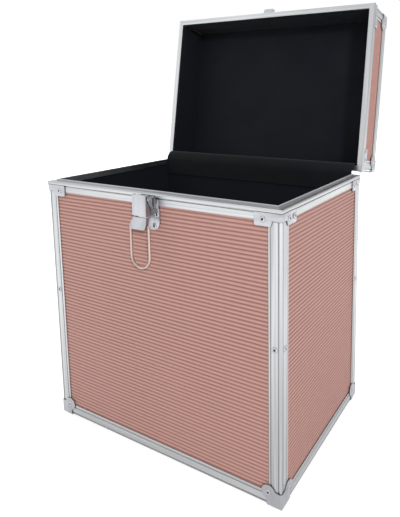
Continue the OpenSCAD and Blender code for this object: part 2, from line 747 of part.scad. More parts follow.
module handle_bracket() {
    base = -pivot_h - profile_t;
    inner = arm_t / 2 + slip;
    difference() {
        union() {
            translate([-bracket_w / 2, -bracket_l / 2, base]) cube([bracket_w, bracket_l, plate_t]);
            for (x = [inner, -inner - fork_t]) translate([x, 0, 0]) rotate([90, 0, 90]) linear_extrude(fork_t)
                polygon(concat([[7, base + plate_t - 0.1]], arc([0, 0], fork_r, 10, 170, 10),
                    [[-7, base + plate_t - 0.1]]));
        }
        rotate([0, 90, 0]) cylinder(r = handle_pin_r, h = 2 * bracket_w, center = true, $fn = 32);
    }
}

module handle_brackets() {
    color(steel) at_handle_pivots() handle_bracket();
}

module handle_pins() {
    color(steel) at_handle_pivots() rotate([0, 90, 0])
        cylinder(r = handle_pin_r, h = arm_t + 2 * (slip + fork_t) + 0.6, center = true, $fn = 32);
}

// Half of the grip's outline, with shallow finger waves
function grip_side(half) = [for (i = [0:8 * finger_waves]) let (t = i / (8 * finger_waves))
    [grip_r - 0.8 + 0.8 * cos(360 * finger_waves * t), (2 * t - 1) * half]];

module handle_grip() {
    end = handle_w / 2 + arm_t / 2;
    color(black) translate([0, 0, top_z + pivot_h]) rotate([handle_tilt - 90, 0, 0]) difference() {
        union() {
            for (s = [-1, 1]) translate([s * handle_w / 2, 0, 0]) {
                rotate([0, 90, 0]) cylinder(r = arm_r, h = arm_t, center = true, $fn = 40);
                translate([-arm_t / 2, -arm_r, 0]) cube([arm_t, 2 * arm_r, handle_rise]);
            }
            translate([0, 0, handle_rise]) rotate([0, 90, 0]) rotate_extrude($fn = 48)
                polygon(concat([[0, -end], [grip_r - 1.5, -end], [grip_r - 0.2, -end + 1.3]],
                    grip_side(end - arm_t - 2), [[grip_r - 0.2, end - 1.3], [grip_r - 1.5, end], [0, end]]));
        }
        rotate([0, 90, 0]) cylinder(r = handle_pin_r + pin_gap, h = 2 * handle_w, center = true, $fn = 32);
    }
}

// ---- Nodes ----

body_board(FRONT);  // front_board
body_board(RIGHT);  // right_board
body_board(BACK);  // back_board
body_board(LEFT);  // left_board
base_board();
body_skin(FRONT);  // front_skin
body_skin(RIGHT);  // right_skin
body_skin(BACK);  // back_skin
body_skin(LEFT);  // left_skin
base_skin();
wall_linings();
floor_lining();
corner_profile(0);  // corner_profile_front_right
corner_profile(1);  // corner_profile_back_right
corner_profile(2);  // corner_profile_back_left
corner_profile(3);  // corner_profile_front_left
base_edge(FRONT);  // base_edge_front
base_edge(RIGHT);  // base_edge_right
base_edge(BACK);  // base_edge_back
base_edge(LEFT);  // base_edge_left
body_rim(FRONT);  // rim_front
body_rim(RIGHT);  // rim_right
body_rim(BACK);  // rim_back
body_rim(LEFT);  // rim_left
base_corner_caps();
rim_corner_brackets();
body_rivets();
latch_base();
latch_rivets();
latch_pin();
hinge_body_leaves();
hinge_pins();
hinge_cover();
feet();
foot_screws();
on_lid() lid_side_boards();
on_lid() lid_top_board();
on_lid() lid_side_skins();
on_lid() lid_top_skin();
on_lid() lid_linings();
on_lid() lid_corner_profiles();
on_lid() lid_edge(FRONT);  // lid_edge_front
on_lid() lid_edge(RIGHT);  // lid_edge_right
on_lid() lid_edge(BACK);  // lid_edge_back
on_lid() lid_edge(LEFT);  // lid_edge_left
on_lid() lid_rim(FRONT);  // lid_rim_front
on_lid() lid_rim(RIGHT);  // lid_rim_right
on_lid() lid_rim(BACK);  // lid_rim_back
on_lid() lid_rim(LEFT);  // lid_rim_left
on_lid() lid_corner_caps();
on_lid() lid_rim_brackets();
on_lid() lid_rivets();
on_lid() lid_catch();
on_lid() hinge_lid_leaves();
on_lid() handle_brackets();
on_lid() handle_pins();
latch_lever();
latch_bail();
on_lid() handle_grip();
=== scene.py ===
"""Record carrying case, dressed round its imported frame.

Ribbed panels, aluminium profiles, riveted corner hardware, a draw latch, hinges under a cloth strip,
felt linings, a folding handle and rubber feet. Metres throughout, in the frame's own axes.
"""

import json
import logging
import math
from dataclasses import dataclass
from enum import Enum
from typing import Callable, Mapping, Optional, Sequence

import bmesh
import bpy
from mathutils import Matrix, Vector, noise

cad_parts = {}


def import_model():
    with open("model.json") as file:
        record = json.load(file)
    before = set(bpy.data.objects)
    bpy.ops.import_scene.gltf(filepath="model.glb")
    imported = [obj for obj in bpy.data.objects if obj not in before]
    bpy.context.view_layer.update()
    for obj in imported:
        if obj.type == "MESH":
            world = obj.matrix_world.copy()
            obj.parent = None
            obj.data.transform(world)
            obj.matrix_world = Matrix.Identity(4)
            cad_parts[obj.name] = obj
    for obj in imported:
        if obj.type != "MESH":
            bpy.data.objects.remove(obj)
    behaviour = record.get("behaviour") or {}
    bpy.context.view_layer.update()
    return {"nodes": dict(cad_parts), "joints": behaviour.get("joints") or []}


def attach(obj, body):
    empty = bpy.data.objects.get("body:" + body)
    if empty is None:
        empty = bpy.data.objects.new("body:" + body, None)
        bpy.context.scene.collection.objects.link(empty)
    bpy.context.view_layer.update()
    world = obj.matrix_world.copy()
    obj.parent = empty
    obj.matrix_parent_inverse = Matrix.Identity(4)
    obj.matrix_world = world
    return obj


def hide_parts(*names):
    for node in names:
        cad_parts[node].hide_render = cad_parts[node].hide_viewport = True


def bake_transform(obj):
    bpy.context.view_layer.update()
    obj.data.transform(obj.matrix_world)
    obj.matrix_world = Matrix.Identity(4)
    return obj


LOG = logging.getLogger("carrying_case")
MM = 0.001
MERGE = 2e-6
COPLANAR = math.radians(0.5)
QUARTER = math.pi / 2
CLOTH_UV = "Cloth"
Colour = tuple[float, float, float, float]
Triple = tuple[float, float, float]
Span = tuple[float, float]
Socket = bpy.types.NodeSocket
Sockets = bpy.types.bpy_prop_collection
Node = bpy.types.Node
NodeTree = bpy.types.NodeTree
Material = bpy.types.Material
Object = bpy.types.Object
Mesh = bpy.types.Mesh
BMesh = bmesh.types.BMesh
BMVert = bmesh.types.BMVert
Feeds = Mapping[object, object]
WHITE: Colour = (1.0, 1.0, 1.0, 1.0)
SOCKET_KINDS = {float: "Float", int: "Int", tuple: "Vector", Material: "Material"}
SHARP_OVER = 50.0
NODES_A_ROW = 12
NODE_STEP = (190, -220)


class Body(str, Enum):
    """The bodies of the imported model."""

    CASE = "case_body"
    LID = "lid"
    LEVER = "lever"
    BAIL = "bail"
    HANDLE = "handle"


class Wall(Enum):
    """The four walls, numbered round the case."""

    FRONT = 0
    RIGHT = 1
    BACK = 2
    LEFT = 3

    @property
    def spans_width(self) -> bool:
        """Whether the wall runs along the case's width."""
        return self in (Wall.FRONT, Wall.BACK)


class Run(Enum):
    """The direction of a drawn or brushed part's fine lines with the lid shut, as a texture's stretch."""

    ACROSS = (0.012, 1.0, 1.0)
    DEEP = (1.0, 0.012, 1.0)
    UP = (1.0, 1.0, 0.012)


def srgb(red: float, green: float, blue: float) -> Colour:
    """Turns a colour of 0 to 255 a channel into scene-linear RGBA.

    Args:
        red: Red, 0 to 255.
        green: Green, 0 to 255.
        blue: Blue, 0 to 255.

    Returns:
        The colour as Blender's sockets take it.
    """

    def linear(value: float) -> float:
        """Returns one channel by the sRGB standard's curve."""
        share = value / 255
        return share / 12.92 if share <= 0.04045 else ((share + 0.055) / 1.055) ** 2.4

    return (linear(red), linear(green), linear(blue), 1.0)


# ---- Node trees ----


class Wiring:
    """Adds nodes to one tree and joins their sockets."""

    def __init__(self, tree: NodeTree) -> None:
        """Takes the tree to work on."""
        self.tree = tree

    def feed(self, node: Node, inputs: Feeds) -> None:
        """Sets or links a node's inputs.

        Args:
            node: The node.
            inputs: Values or output sockets, by the input's name or index.
        """
        for key, value in inputs.items():
            if isinstance(value, Socket):
                self.tree.links.new(value, node.inputs[key])
            else:
                node.inputs[key].default_value = value

    def node(self, kind: str, inputs: Optional[Feeds] = None, **settings: object) -> Node:
        """Adds a node.

        Args:
            kind: The node's type name.
            inputs: What its inputs are fed.
            **settings: Properties set on the node itself, before its inputs.

        Returns:
            The new node.
        """
        made = self.tree.nodes.new(kind)
        row, column = divmod(len(self.tree.nodes), NODES_A_ROW)
        made.location = (NODE_STEP[0] * column, NODE_STEP[1] * row)
        for name, value in settings.items():
            setattr(made, name, value)
        self.feed(made, inputs or {})
        return made

    def made(self, kind: str, inputs: Optional[Feeds] = None, **settings: object) -> Socket:
        """Adds a node as node() does, and returns its first output."""
        return self.node(kind, inputs, **settings).outputs[0]

    def math(self, operation: str, first: object, second: object = 0.0) -> Socket:
        """Adds a Math node and returns its value."""
        return self.made("ShaderNodeMath", {0: first, 1: second}, operation=operation)

    def mixed(self, share: object, first: object, second: object) -> Socket:
        """Adds a float Mix node and returns its value."""
        return self.made("ShaderNodeMix", {0: share, 2: first, 3: second})

    def tinted(self, share: object, first: object, second: object, mode: str = "MIX") -> Socket:
        """Adds a colour Mix node and returns its colour."""
        inputs = {0: share, 6: first, 7: second}
        return self.node("ShaderNodeMix", inputs, data_type="RGBA", blend_type=mode).outputs[2]

    def spread(self, value: object, span: Span, to: Span = (0.0, 1.0)) -> Socket:
        """Adds a clamped Map Range node from one span to another and returns its result."""
        return self.made("ShaderNodeMapRange", {0: value, 1: span[0], 2: span[1], 3: to[0], 4: to[1]})

    def noise(self, place: object, scale: object, detail: float = 2.0, rough: float = 0.5) -> Socket:
        """Adds a Noise Texture node and returns its value."""
        inputs = {"Vector": place, "Scale": scale, "Detail": detail, "Roughness": rough}
        return self.made("ShaderNodeTexNoise", inputs)

    def vector(self, **parts: object) -> Socket:
        """Adds a Combine XYZ node and returns its vector."""
        return self.made("ShaderNodeCombineXYZ", parts)

    def parted(self, vector: object) -> Sockets:
        """Adds a Separate XYZ node and returns its outputs."""
        return self.node("ShaderNodeSeparateXYZ", {0: vector}).outputs

    def length(self, vector: object) -> Socket:
        """Adds a Vector Math node and returns the vector's length."""
        return self.node("ShaderNodeVectorMath", {0: vector}, operation="LENGTH").outputs["Value"]

    def object_place(self) -> Socket:
        """Adds a Texture Coordinate node and returns its Object output."""
        return self.node("ShaderNodeTexCoord").outputs["Object"]

    def attribute(self, name: str) -> Socket:
        """Adds an Attribute node and returns its number."""
        return self.node("ShaderNodeAttribute", attribute_name=name).outputs["Fac"]

    def bump(self, height: object, strength: float, depth: float) -> Socket:
        """Adds a Bump node and returns its normal."""
        return self.made("ShaderNodeBump", {"Strength": strength, "Distance": depth, "Height": height})

    def effect(self, build: "Build", values: Mapping[str, object]) -> Sockets:
        """Places a shared effect with its own values and returns its outputs."""
        group = node_group(build.__name__, build, "ShaderNodeTree", values, "Float")
        return self.node("ShaderNodeGroup", values, node_tree=group).outputs

    def worn(self, sizes: Span) -> Sockets:
        """Places the effect of handling, with its sizes of patches and specks."""
        return self.effect(Effects.handling, {"Size": sizes[0], "Speck size": sizes[1]})

    def placed(self, geometry: Socket, place: Socket, turn: Triple = (0.0, 0.0, 0.0)) -> Socket:
        """Adds a Transform Geometry node and returns its geometry."""
        inputs = {"Geometry": geometry, "Translation": place, "Rotation": turn}
        return self.made("GeometryNodeTransform", inputs)

    def marked(self, geometry: Socket, name: str, value: Socket) -> Socket:
        """Stores a number on a geometry's points and returns the geometry."""
        inputs = {"Geometry": geometry, "Name": name, "Value": value}
        return self.made("GeometryNodeStoreNamedAttribute", inputs, data_type="FLOAT", domain="POINT")

    def merged(self, *parts: Socket) -> Socket:
        """Adds a Join Geometry node and returns its geometry."""
        made = self.node("GeometryNodeJoinGeometry")
        for part in parts:
            self.tree.links.new(part, made.inputs[0])
        return made.outputs[0]


Build = Callable[[Wiring, Sockets], Mapping[str, Socket]]


def node_group(name: str, build: Build, tree_kind: str, inputs: Feeds, output_kind: str) -> NodeTree:
    """Returns the node group of this name, building it the first time.

    Args:
        name: The group's name.
        build: Adds the group's nodes to a tree with these inputs, and returns its outputs by name.
        tree_kind: The tree's type name.
        inputs: Values by name. Their types give the kinds of the inputs.
        output_kind: The kind of every output.

    Returns:
        The group's tree.
    """
    found = bpy.data.node_groups.get(name)
    if found is not None:
        return found
    tree = bpy.data.node_groups.new(name, tree_kind)
    wire = Wiring(tree)
    for key, value in inputs.items():
        kind = SOCKET_KINDS.get(type(value), "Geometry")
        tree.interface.new_socket(key, in_out="INPUT", socket_type="NodeSocket" + kind)
    results = build(wire, wire.node("NodeGroupInput").outputs)
    for key in results:
        tree.interface.new_socket(key, in_out="OUTPUT", socket_type="NodeSocket" + output_kind)
    wire.node("NodeGroupOutput", results)
    return tree


class Effects:
    """What builds the shader node groups that several finishes share."""

    @staticmethod
    def drawn_lines(wire: Wiring, given: Sockets) -> Mapping[str, Socket]:
        """Fine lines that a die or a brush leaves along a part, over broad streaks."""
        place = wire.made("ShaderNodeMapping", {"Vector": wire.object_place(), "Rotation": given["Turn"]})
        place = wire.made("ShaderNodeMapping", {"Vector": place, "Scale": given["Stretch"]})
        fine = wire.noise(place, given["Lines"], detail=3.0, rough=0.6)
        broad = wire.noise(place, given["Streaks"], detail=1.0)
        return {"Tone": wire.mixed(given["Streak share"], fine, broad), "Height": fine}

    @staticmethod
    def handling(wire: Wiring, given: Sockets) -> Mapping[str, Socket]:
        """Soft patches that hands leave, and sparse specks of dust."""
        patch_span, speck_span = (0.35, 0.68), (0.66, 0.78)
        place = wire.object_place()
        patches = wire.noise(place, given["Size"], detail=5.0, rough=0.62)
        specks = wire.noise(place, given["Speck size"], detail=1.0)
        return {"Patches": wire.spread(patches, patch_span), "Specks": wire.spread(specks, speck_span)}

    @staticmethod
    def woven(wire: Wiring, given: Sockets) -> Mapping[str, Socket]:
        """Plain weave on a piece's own map, warp over weft in a checker, with some fuzz over it."""
        fuzz_scale = 2600.0
        flat = wire.parted(wire.made("ShaderNodeUVMap", uv_map=CLOTH_UV))
        across, along = (wire.math("SINE", wire.math("MULTIPLY", u, given["Threads"])) for u in flat[:2])
        over = wire.math("GREATER_THAN", wire.math("MULTIPLY", across, along), 0.0)
        threads = wire.mixed(over, wire.math("ABSOLUTE", across), wire.math("ABSOLUTE", along))
        fuzz = wire.noise(wire.object_place(), fuzz_scale, detail=3.0)
        return {"Height": wire.mixed(given["Fuzz"], threads, fuzz)}


# ---- Finishes ----


def principled(material: Material) -> Node:
    """Returns a new material's Principled BSDF."""
    material.use_nodes = True
    return next(n for n in material.node_tree.nodes if n.type == "BSDF_PRINCIPLED")


@dataclass(frozen=True)
class Finish:
    """What every finish has: a name, the record's slot for it, a base colour and a roughness."""

    name: str
    slot: str
    colour: Colour
    roughness: float

    def material(self) -> Material:
        """Returns the material, building it the first time it is asked for."""
        found = bpy.data.materials.get(self.name)
        if found is not None:
            return found
        made = bpy.data.materials.new(self.name)
        made.diffuse_color = self.colour
        shader = principled(made)
        wire = Wiring(made.node_tree)
        wire.feed(shader, {"Base Color": self.colour, "Roughness": self.roughness})
        wire.feed(shader, self.inputs(wire))
        return made

    def inputs(self, wire: Wiring) -> Mapping[str, object]:
        """Adds the finish's own nodes.

        Args:
            wire: The material's tree.

        Returns:
            What its Principled BSDF is fed.
        """
        raise NotImplementedError


@dataclass(frozen=True)
class DrawnMetal(Finish):
    """Metal with fine lines along its run: satin aluminium, or plated steel with weaker lines."""

    run: Run = Run.UP
    tilt: float = 0.0
    lines: float = 1400.0
    streaks: float = 420.0
    streak_share: float = 0.7
    contrast: float = 0.16
    patchiness: float = 0.10
    line_depth: float = 0.00002
    line_strength: float = 0.35
    tone_span: Span = (0.36, 0.64)
    rough_span: Span = (0.3, 0.7)
    rougher: float = 0.06
    smoother: float = 0.04
    # Painted shade in crevices: how far it looks, the span it maps, its darkest factor and its samples.
    crevice_reach: float = 0.0026
    crevice_span: Span = (0.30, 0.95)
    crevice_dark: float = 0.55
    crevice_samples: int = 8
    wear_sizes: Span = (11.0, 900.0)

    def inputs(self, wire: Wiring) -> Mapping[str, object]:
        """Lines in colour, roughness and bump, painted shade in the crevices, and handling patches over them.
        """
        drawn = wire.effect(
            Effects.drawn_lines,
            {
                "Stretch": self.run.value,
                "Turn": (self.tilt, 0.0, 0.0),
                "Lines": self.lines,
                "Streaks": self.streaks,
                "Streak share": self.streak_share,
            },
        )
        shade = wire.spread(drawn["Tone"], self.tone_span, (1.0 - self.contrast, 1.0))
        # Painted shade: ambient occlusion darkens the colour in crevices, grooves and gaps between parts,
        # down to crevice_dark.
        inputs, samples = {"Distance": self.crevice_reach}, self.crevice_samples
        open_air = wire.node("ShaderNodeAmbientOcclusion", inputs, samples=samples).outputs["AO"]
        crevice_shade = wire.spread(open_air, self.crevice_span, (self.crevice_dark, 1.0))
        shade = wire.math("MULTIPLY", wire.math("MULTIPLY", shade, crevice_shade), self.mask(wire))
        grey = wire.made("ShaderNodeCombineColor", {0: shade, 1: shade, 2: shade})
        rough = (self.roughness + self.rougher, self.roughness - self.smoother)
        patches = wire.math("MULTIPLY", wire.worn(self.wear_sizes)["Patches"], self.patchiness)
        return {
            "Metallic": 1.0,
            "Base Color": wire.tinted(1.0, self.colour, grey, "MULTIPLY"),
            "Roughness": wire.math("ADD", wire.spread(drawn["Tone"], self.rough_span, rough), patches),
            "Normal": wire.bump(drawn["Height"], self.line_strength, self.line_depth),
        }

    def mask(self, wire: Wiring) -> object:
        """Returns a further factor of the colour. Plain metal has none."""
        return 1.0


@dataclass(frozen=True)
class RivetMetal(DrawnMetal):
    """Plated metal, with painted shade that makes it black inside the pocket of a hollow rivet."""

    pocket_shade: float = 0.05

    def mask(self, wire: Wiring) -> object:
        """Returns the factor of painted shade that the pocket's own attribute gives."""
        return wire.spread(wire.attribute("pocket"), (0.0, 1.0), (1.0, self.pocket_shade))


@dataclass(frozen=True)
class RibbedSheet(Finish):
    """Pressed sheet with a pearly coat, with painted highlight on the crests of its ribs and painted shade
    low between them.
    """

    # The crest colour is a painted highlight, which handling patches also fade towards. The valley colour is
    # painted shade.
    crest: Colour = WHITE
    valley: Colour = (0.5, 0.5, 0.5, 1.0)
    low_span: Span = (0.0, 0.55)
    high_span: Span = (0.6, 1.0)
    metallic: float = 0.06
    specular: float = 0.1
    grain: float = 1900.0
    grain_span: Span = (0.3, 0.7)
    smoother: float = 0.05
    rougher: float = 0.07
    grain_strength: float = 0.18
    grain_depth: float = 0.00004
    faded: float = 0.16
    patchiness: float = 0.07
    wear_sizes: Span = (7.0, 1300.0)

    def inputs(self, wire: Wiring) -> Mapping[str, object]:
        """Colour by the height of the rib, painted shade low on it and painted highlight on its crest, with
        grain and handling over it.
        """
        ridge, patches = wire.attribute("crest"), wire.worn(self.wear_sizes)["Patches"]
        low = wire.tinted(wire.spread(ridge, self.low_span), self.valley, self.colour)
        high = wire.tinted(wire.spread(ridge, self.high_span), low, self.crest)
        grain = wire.noise(wire.object_place(), self.grain, detail=3.0, rough=0.6)
        rough = (self.roughness - self.smoother, self.roughness + self.rougher)
        rough = wire.spread(grain, self.grain_span, rough)
        return {
            "Base Color": wire.tinted(wire.math("MULTIPLY", patches, self.faded), high, self.crest),
            "Metallic": self.metallic,
            "Specular IOR Level": self.specular,
            "Roughness": wire.math("ADD", rough, wire.math("MULTIPLY", patches, self.patchiness)),
            "Normal": wire.bump(grain, self.grain_strength, self.grain_depth),
        }


@dataclass(frozen=True)
class Cloth(Finish):
    """Dark woven or felted cloth with a soft sheen."""

    # Colour of the painted highlight on the raised threads.
    pale: Colour = (0.05, 0.05, 0.05, 1.0)
    lint: Colour = srgb(120, 122, 126)
    lint_share: float = 0.10
    threads: float = 6000.0
    thread_span: Span = (0.1, 0.9)
    thread_share: float = 0.7
    thread_strength: float = 0.5
    thread_depth: float = 0.00012
    fuzz: float = 0.4
    rougher: float = 0.1
    sheen: float = 0.25
    sheen_roughness: float = 0.45
    specular: float = 0.2
    wear_sizes: Span = (14.0, 1100.0)

    def inputs(self, wire: Wiring) -> Mapping[str, object]:
        """Thread height into colour, as painted highlight on the raised threads, and into bump, with lint
        over it.
        """
        height = wire.effect(Effects.woven, {"Threads": self.threads, "Fuzz": self.fuzz})["Height"]
        worn = wire.worn(self.wear_sizes)
        # Painted highlight: the raised threads turn towards the pale colour.
        lit = wire.spread(height, self.thread_span, (0.0, self.thread_share))
        lit = wire.tinted(lit, self.colour, self.pale)
        lint = wire.math("MULTIPLY", worn["Specks"], self.lint_share)
        rough = (self.roughness, min(1.0, self.roughness + self.rougher))
        return {
            "Base Color": wire.tinted(lint, lit, self.lint),
            "Roughness": wire.spread(worn["Patches"], (0.0, 1.0), rough),
            "Sheen Weight": self.sheen,
            "Sheen Roughness": self.sheen_roughness,
            "Specular IOR Level": self.specular,
            "Normal": wire.bump(height, self.thread_strength, self.thread_depth),
        }


@dataclass(frozen=True)
class Moulded(Finish):
    """Moulded plastic or rubber with a fine stipple."""

    stipple: float = 1200.0
    strength: float = 0.4
    depth: float = 0.00006
    rougher: float = 0.05
    smoother: float = 0.12
    dust: Colour = srgb(150, 150, 150)
    dust_share: float = 0.12
    wear_sizes: Span = (26.0, 800.0)

    def inputs(self, wire: Wiring) -> Mapping[str, object]:
        """Stipple bump, dust, and patches where it has been handled."""
        worn = wire.worn(self.wear_sizes)
        dusty = wire.math("MULTIPLY", worn["Specks"], self.dust_share)
        rough = (self.roughness + self.rougher, self.roughness - self.smoother)
        stipple = wire.noise(wire.object_place(), self.stipple)
        return {
            "Base Color": wire.tinted(dusty, self.colour, self.dust),
            "Roughness": wire.spread(worn["Patches"], (0.0, 1.0), rough),
            "Normal": wire.bump(stipple, self.strength, self.depth),
        }


@dataclass(frozen=True)
class Plywood(Finish):
    """Pale plywood with grain along the case's width."""

    dark: Colour = (0.2, 0.12, 0.06, 1.0)
    stretch: Triple = (0.06, 1.0, 1.0)
    lines: float = 420.0
    streaks: float = 60.0
    streak_share: float = 0.4
    tone_span: Span = (0.3, 0.7)
    rough_span: Span = (0.8, 0.6)
    grain_strength: float = 0.3
    grain_depth: float = 0.00008

    def inputs(self, wire: Wiring) -> Mapping[str, object]:
        """Stretched grain in colour, roughness and bump."""
        values = {"Lines": self.lines, "Streaks": self.streaks, "Streak share": self.streak_share}
        values |= {"Stretch": self.stretch, "Turn": (0.0, 0.0, 0.0)}
        grain = wire.effect(Effects.drawn_lines, values)
        tone = wire.spread(grain["Tone"], self.tone_span)
        return {
            "Base Color": wire.tinted(tone, self.dark, self.colour),
            "Roughness": wire.spread(tone, (0.0, 1.0), self.rough_span),
            "Normal": wire.bump(grain["Height"], self.grain_strength, self.grain_depth),
        }


LID_TILT = math.radians(100)
STEEL = srgb(200, 201, 205)
# Rose sheet: base colour, roughness, painted highlight colour of the crests and painted shade colour of the
# valleys.
ROSE = RibbedSheet(
    "rose_ribbed_sheet", "rose_sheet", srgb(185, 141, 133), 0.44, srgb(204, 162, 152), srgb(156, 113, 106)
)
FELT_LOOK = {"pale": srgb(24, 28, 35), "threads": 7000.0, "fuzz": 0.65, "sheen": 0.04}
LINING = Cloth("black_lining", "lining", srgb(11, 14, 19), 0.78, **FELT_LOOK)
STRIP_LOOK = {"pale": srgb(27, 28, 32), "threads": 3900.0, "fuzz": 0.25, "sheen": 0.05}
STRIP = Cloth("black_strip", "cover_strip", srgb(11, 12, 15), 0.85, **STRIP_LOOK)
GRIP = Moulded("black_grip", "handle_plastic", srgb(30, 30, 32), 0.48)
RUBBER = Moulded("black_rubber", "foot_rubber", srgb(28, 28, 28), 0.72, stipple=900.0)
BIRCH = Plywood("birch_plywood", "plywood", srgb(206, 178, 138), 0.7, srgb(168, 134, 94))
WIRE = DrawnMetal("nickel_wire", "bail_wire", srgb(189, 171, 161), 0.30, lines=900.0, patchiness=0.12)
RIVET = RivetMetal(
    "rivet_heads", "rivets", srgb(198, 199, 203), 0.26, lines=1800.0, contrast=0.14, patchiness=0.15
)
PIN = DrawnMetal("steel_pins", "pins", STEEL, 0.30, Run.ACROSS, lines=1500.0)


def metal_name(kind: str, run: Run, on_lid: bool) -> str:
    """Returns the name of a metal for its run and body."""
    return f"{kind}_{run.name.lower()}_{'lid' if on_lid else 'body'}"


def aluminium(run: Run, on_lid: bool) -> DrawnMetal:
    """Returns the satin aluminium of a profile that runs this way."""
    name, tilt = metal_name("aluminium", run, on_lid), LID_TILT if on_lid else 0.0
    return DrawnMetal(name, "frame_aluminium", srgb(195, 197, 199), 0.30, run, tilt, contrast=0.24)


def plated(run: Run, on_lid: bool) -> DrawnMetal:
    """Returns the plated steel of a piece of hardware whose lines run this way."""
    name, tilt = metal_name("plated_steel", run, on_lid), LID_TILT if on_lid else 0.0
    look = {"lines": 1100.0, "streaks": 160.0, "patchiness": 0.14, "line_depth": 0.00001}
    return DrawnMetal(name, "hardware", srgb(179, 181, 186), 0.21, run, tilt, **look)


# ---- Sizes and places that several sub-assemblies share ----


@dataclass(frozen=True)
class CaseSizes:
    """The case's own sizes, as the frame has them."""

    width: float = 340 * MM
    depth: float = 232 * MM
    base: float = 4 * MM
    rim: float = 328 * MM
    lid_rim: float = 328.4 * MM
    top: float = 392.4 * MM
    profile: float = 1.5 * MM
    sheet: float = 1.2 * MM
    board: float = 3 * MM
    lining: float = 2 * MM
    web: float = 1.5 * MM
    body_lip: float = 6 * MM
    lid_lip: float = 3.2 * MM

    @property
    def board_in(self) -> float:
        """Outer face of the boards, from the outer face of the profiles."""
        return self.profile + self.sheet

    @property
    def lining_in(self) -> float:
        """Inner face of the boards."""
        return self.board_in + self.board

    @property
    def wall(self) -> float:
        """Inner face of the lining."""
        return self.lining_in + self.lining

    def clear(self, inset: float) -> Span:
        """Returns the width and depth that are left inside this inset."""
        return self.width - 2 * inset, self.depth - 2 * inset

    def on_wall(self, wall: Wall, inset: float, bottom: float) -> Matrix:
        """Returns a wall's own frame: X along the wall, -Y out of it.

        Args:
            wall: The wall.
            inset: How far in from the profiles' outer face.
            bottom: Height of the frame's origin.

        Returns:
            The frame.
        """
        reach = (self.depth if wall.spans_width else self.width) / 2
        turn = Matrix.Rotation(QUARTER * wall.value, 4, "Z")
        return turn @ Matrix.Translation((0, inset - reach, bottom))


def level(deep: float, height: float, up: bool) -> Matrix:
    """Returns the place of a level sheet that is made upright, X along it and -Y out of it.

    Args:
        deep: The sheet's depth.
        height: The height of its shown face.
        up: Whether that face looks up. Otherwise it looks down.

    Returns:
        What takes it there, with its middle over the origin.
    """
    way = -1 if up else 1
    return Matrix.Translation((0, way * deep / 2, height)) @ Matrix.Rotation(way * QUARTER, 4, "X")


def lid_turn(hinge: Mapping[str, object]) -> Matrix:
    """Returns the turn that the lid's hinge gives its pieces, from shut to their place at rest."""
    pivot = Matrix.Translation(hinge["pos_m"])
    turn = Matrix.Rotation(-math.radians(hinge["range_deg"][1]), 4, Vector(hinge["axis"]))
    return pivot @ turn @ pivot.inverted()


# ---- Meshes ----


def linked(name: str, mesh: Mesh) -> Object:
    """Makes an object of a mesh and puts it in the scene."""
    mesh.name = name
    made = bpy.data.objects.new(name, mesh)
    bpy.context.scene.collection.objects.link(made)
    return made


def opened_up(mesh: Mesh) -> BMesh:
    """Returns a mesh as a new BMesh."""
    work = bmesh.new()
    work.from_mesh(mesh)
    return work


def smoothed(mesh: Mesh, sharp_over: float = SHARP_OVER) -> None:
    """Shades a mesh smooth, with the edges over this angle in degrees kept sharp."""
    work = opened_up(mesh)
    for face in work.faces:
        face.smooth = True
    limit = math.radians(sharp_over)
    for edge in work.edges:
        edge.smooth = len(edge.link_faces) == 2 and edge.calc_face_angle(0.0) < limit
    work.to_mesh(mesh)
    work.free()


def closed_off(work: BMesh, sharp_over: float = SHARP_OVER) -> Mesh:
    """Turns a BMesh into a mesh, smoothed but for the edges over this angle, and frees it."""
    mesh = bpy.data.meshes.new("made")
    work.to_mesh(mesh)
    work.free()
    smoothed(mesh, sharp_over)
    return mesh


def faced_out(work: BMesh) -> None:
    """Turns every face of a closed BMesh outwards."""
    bmesh.ops.recalc_face_normals(work, faces=work.faces)


def webbed(work: BMesh, rows: Sequence[Sequence[BMVert]], ringed: bool = False) -> None:
    """Fills between neighbouring rows of vertices with quads.

    Args:
        work: The BMesh.
        rows: Rows of one length.
        ringed: Whether each row closes on itself.
    """
    for low, high in zip(rows, rows[1:]):
        for i in range(len(low) - (0 if ringed else 1)):
            j = (i + 1) % len(low)
            work.faces.new((low[i], low[j], high[j], high[i]))


def joined(meshes: Sequence[Mesh]) -> Mesh:
    """Joins meshes into one, which keeps their maps, attributes and first material."""
    objects = [linked(f"part_{i}", mesh) for i, mesh in enumerate(meshes)]
    first = objects[0]
    with bpy.context.temp_override(
        active_object=first, object=first, selected_objects=objects, selected_editable_objects=objects
    ):
        bpy.ops.object.join()
    mesh = first.data
    bpy.data.objects.remove(first)
    return mesh


def sewn(node: Object) -> BMesh:
    """Returns a copy of a CAD node's mesh with its triangles sewn together."""
    work = opened_up(node.data)
    bmesh.ops.remove_doubles(work, verts=work.verts, dist=MERGE)
    return work


def islands(node: Object, turn: Matrix) -> list[list[Vector]]:
    """Finds the separate solids of a CAD node.

    Args:
        node: The node's object.
        turn: Applied to the points first.

    Returns:
        The points of each solid.
    """
    work = sewn(node)
    work.verts.ensure_lookup_table()
    seen: set[int] = set()
    found = []
    for start in work.verts:
        if start.index in seen:
            continue
        group, queue = [], [start]
        seen.add(start.index)
        while queue:
            point = queue.pop()
            group.append(turn @ point.co)
            for edge in point.link_edges:
                other = edge.other_vert(point)
                if other.index not in seen:
                    seen.add(other.index)
                    queue.append(other)
        found.append(group)
    work.free()
    return found


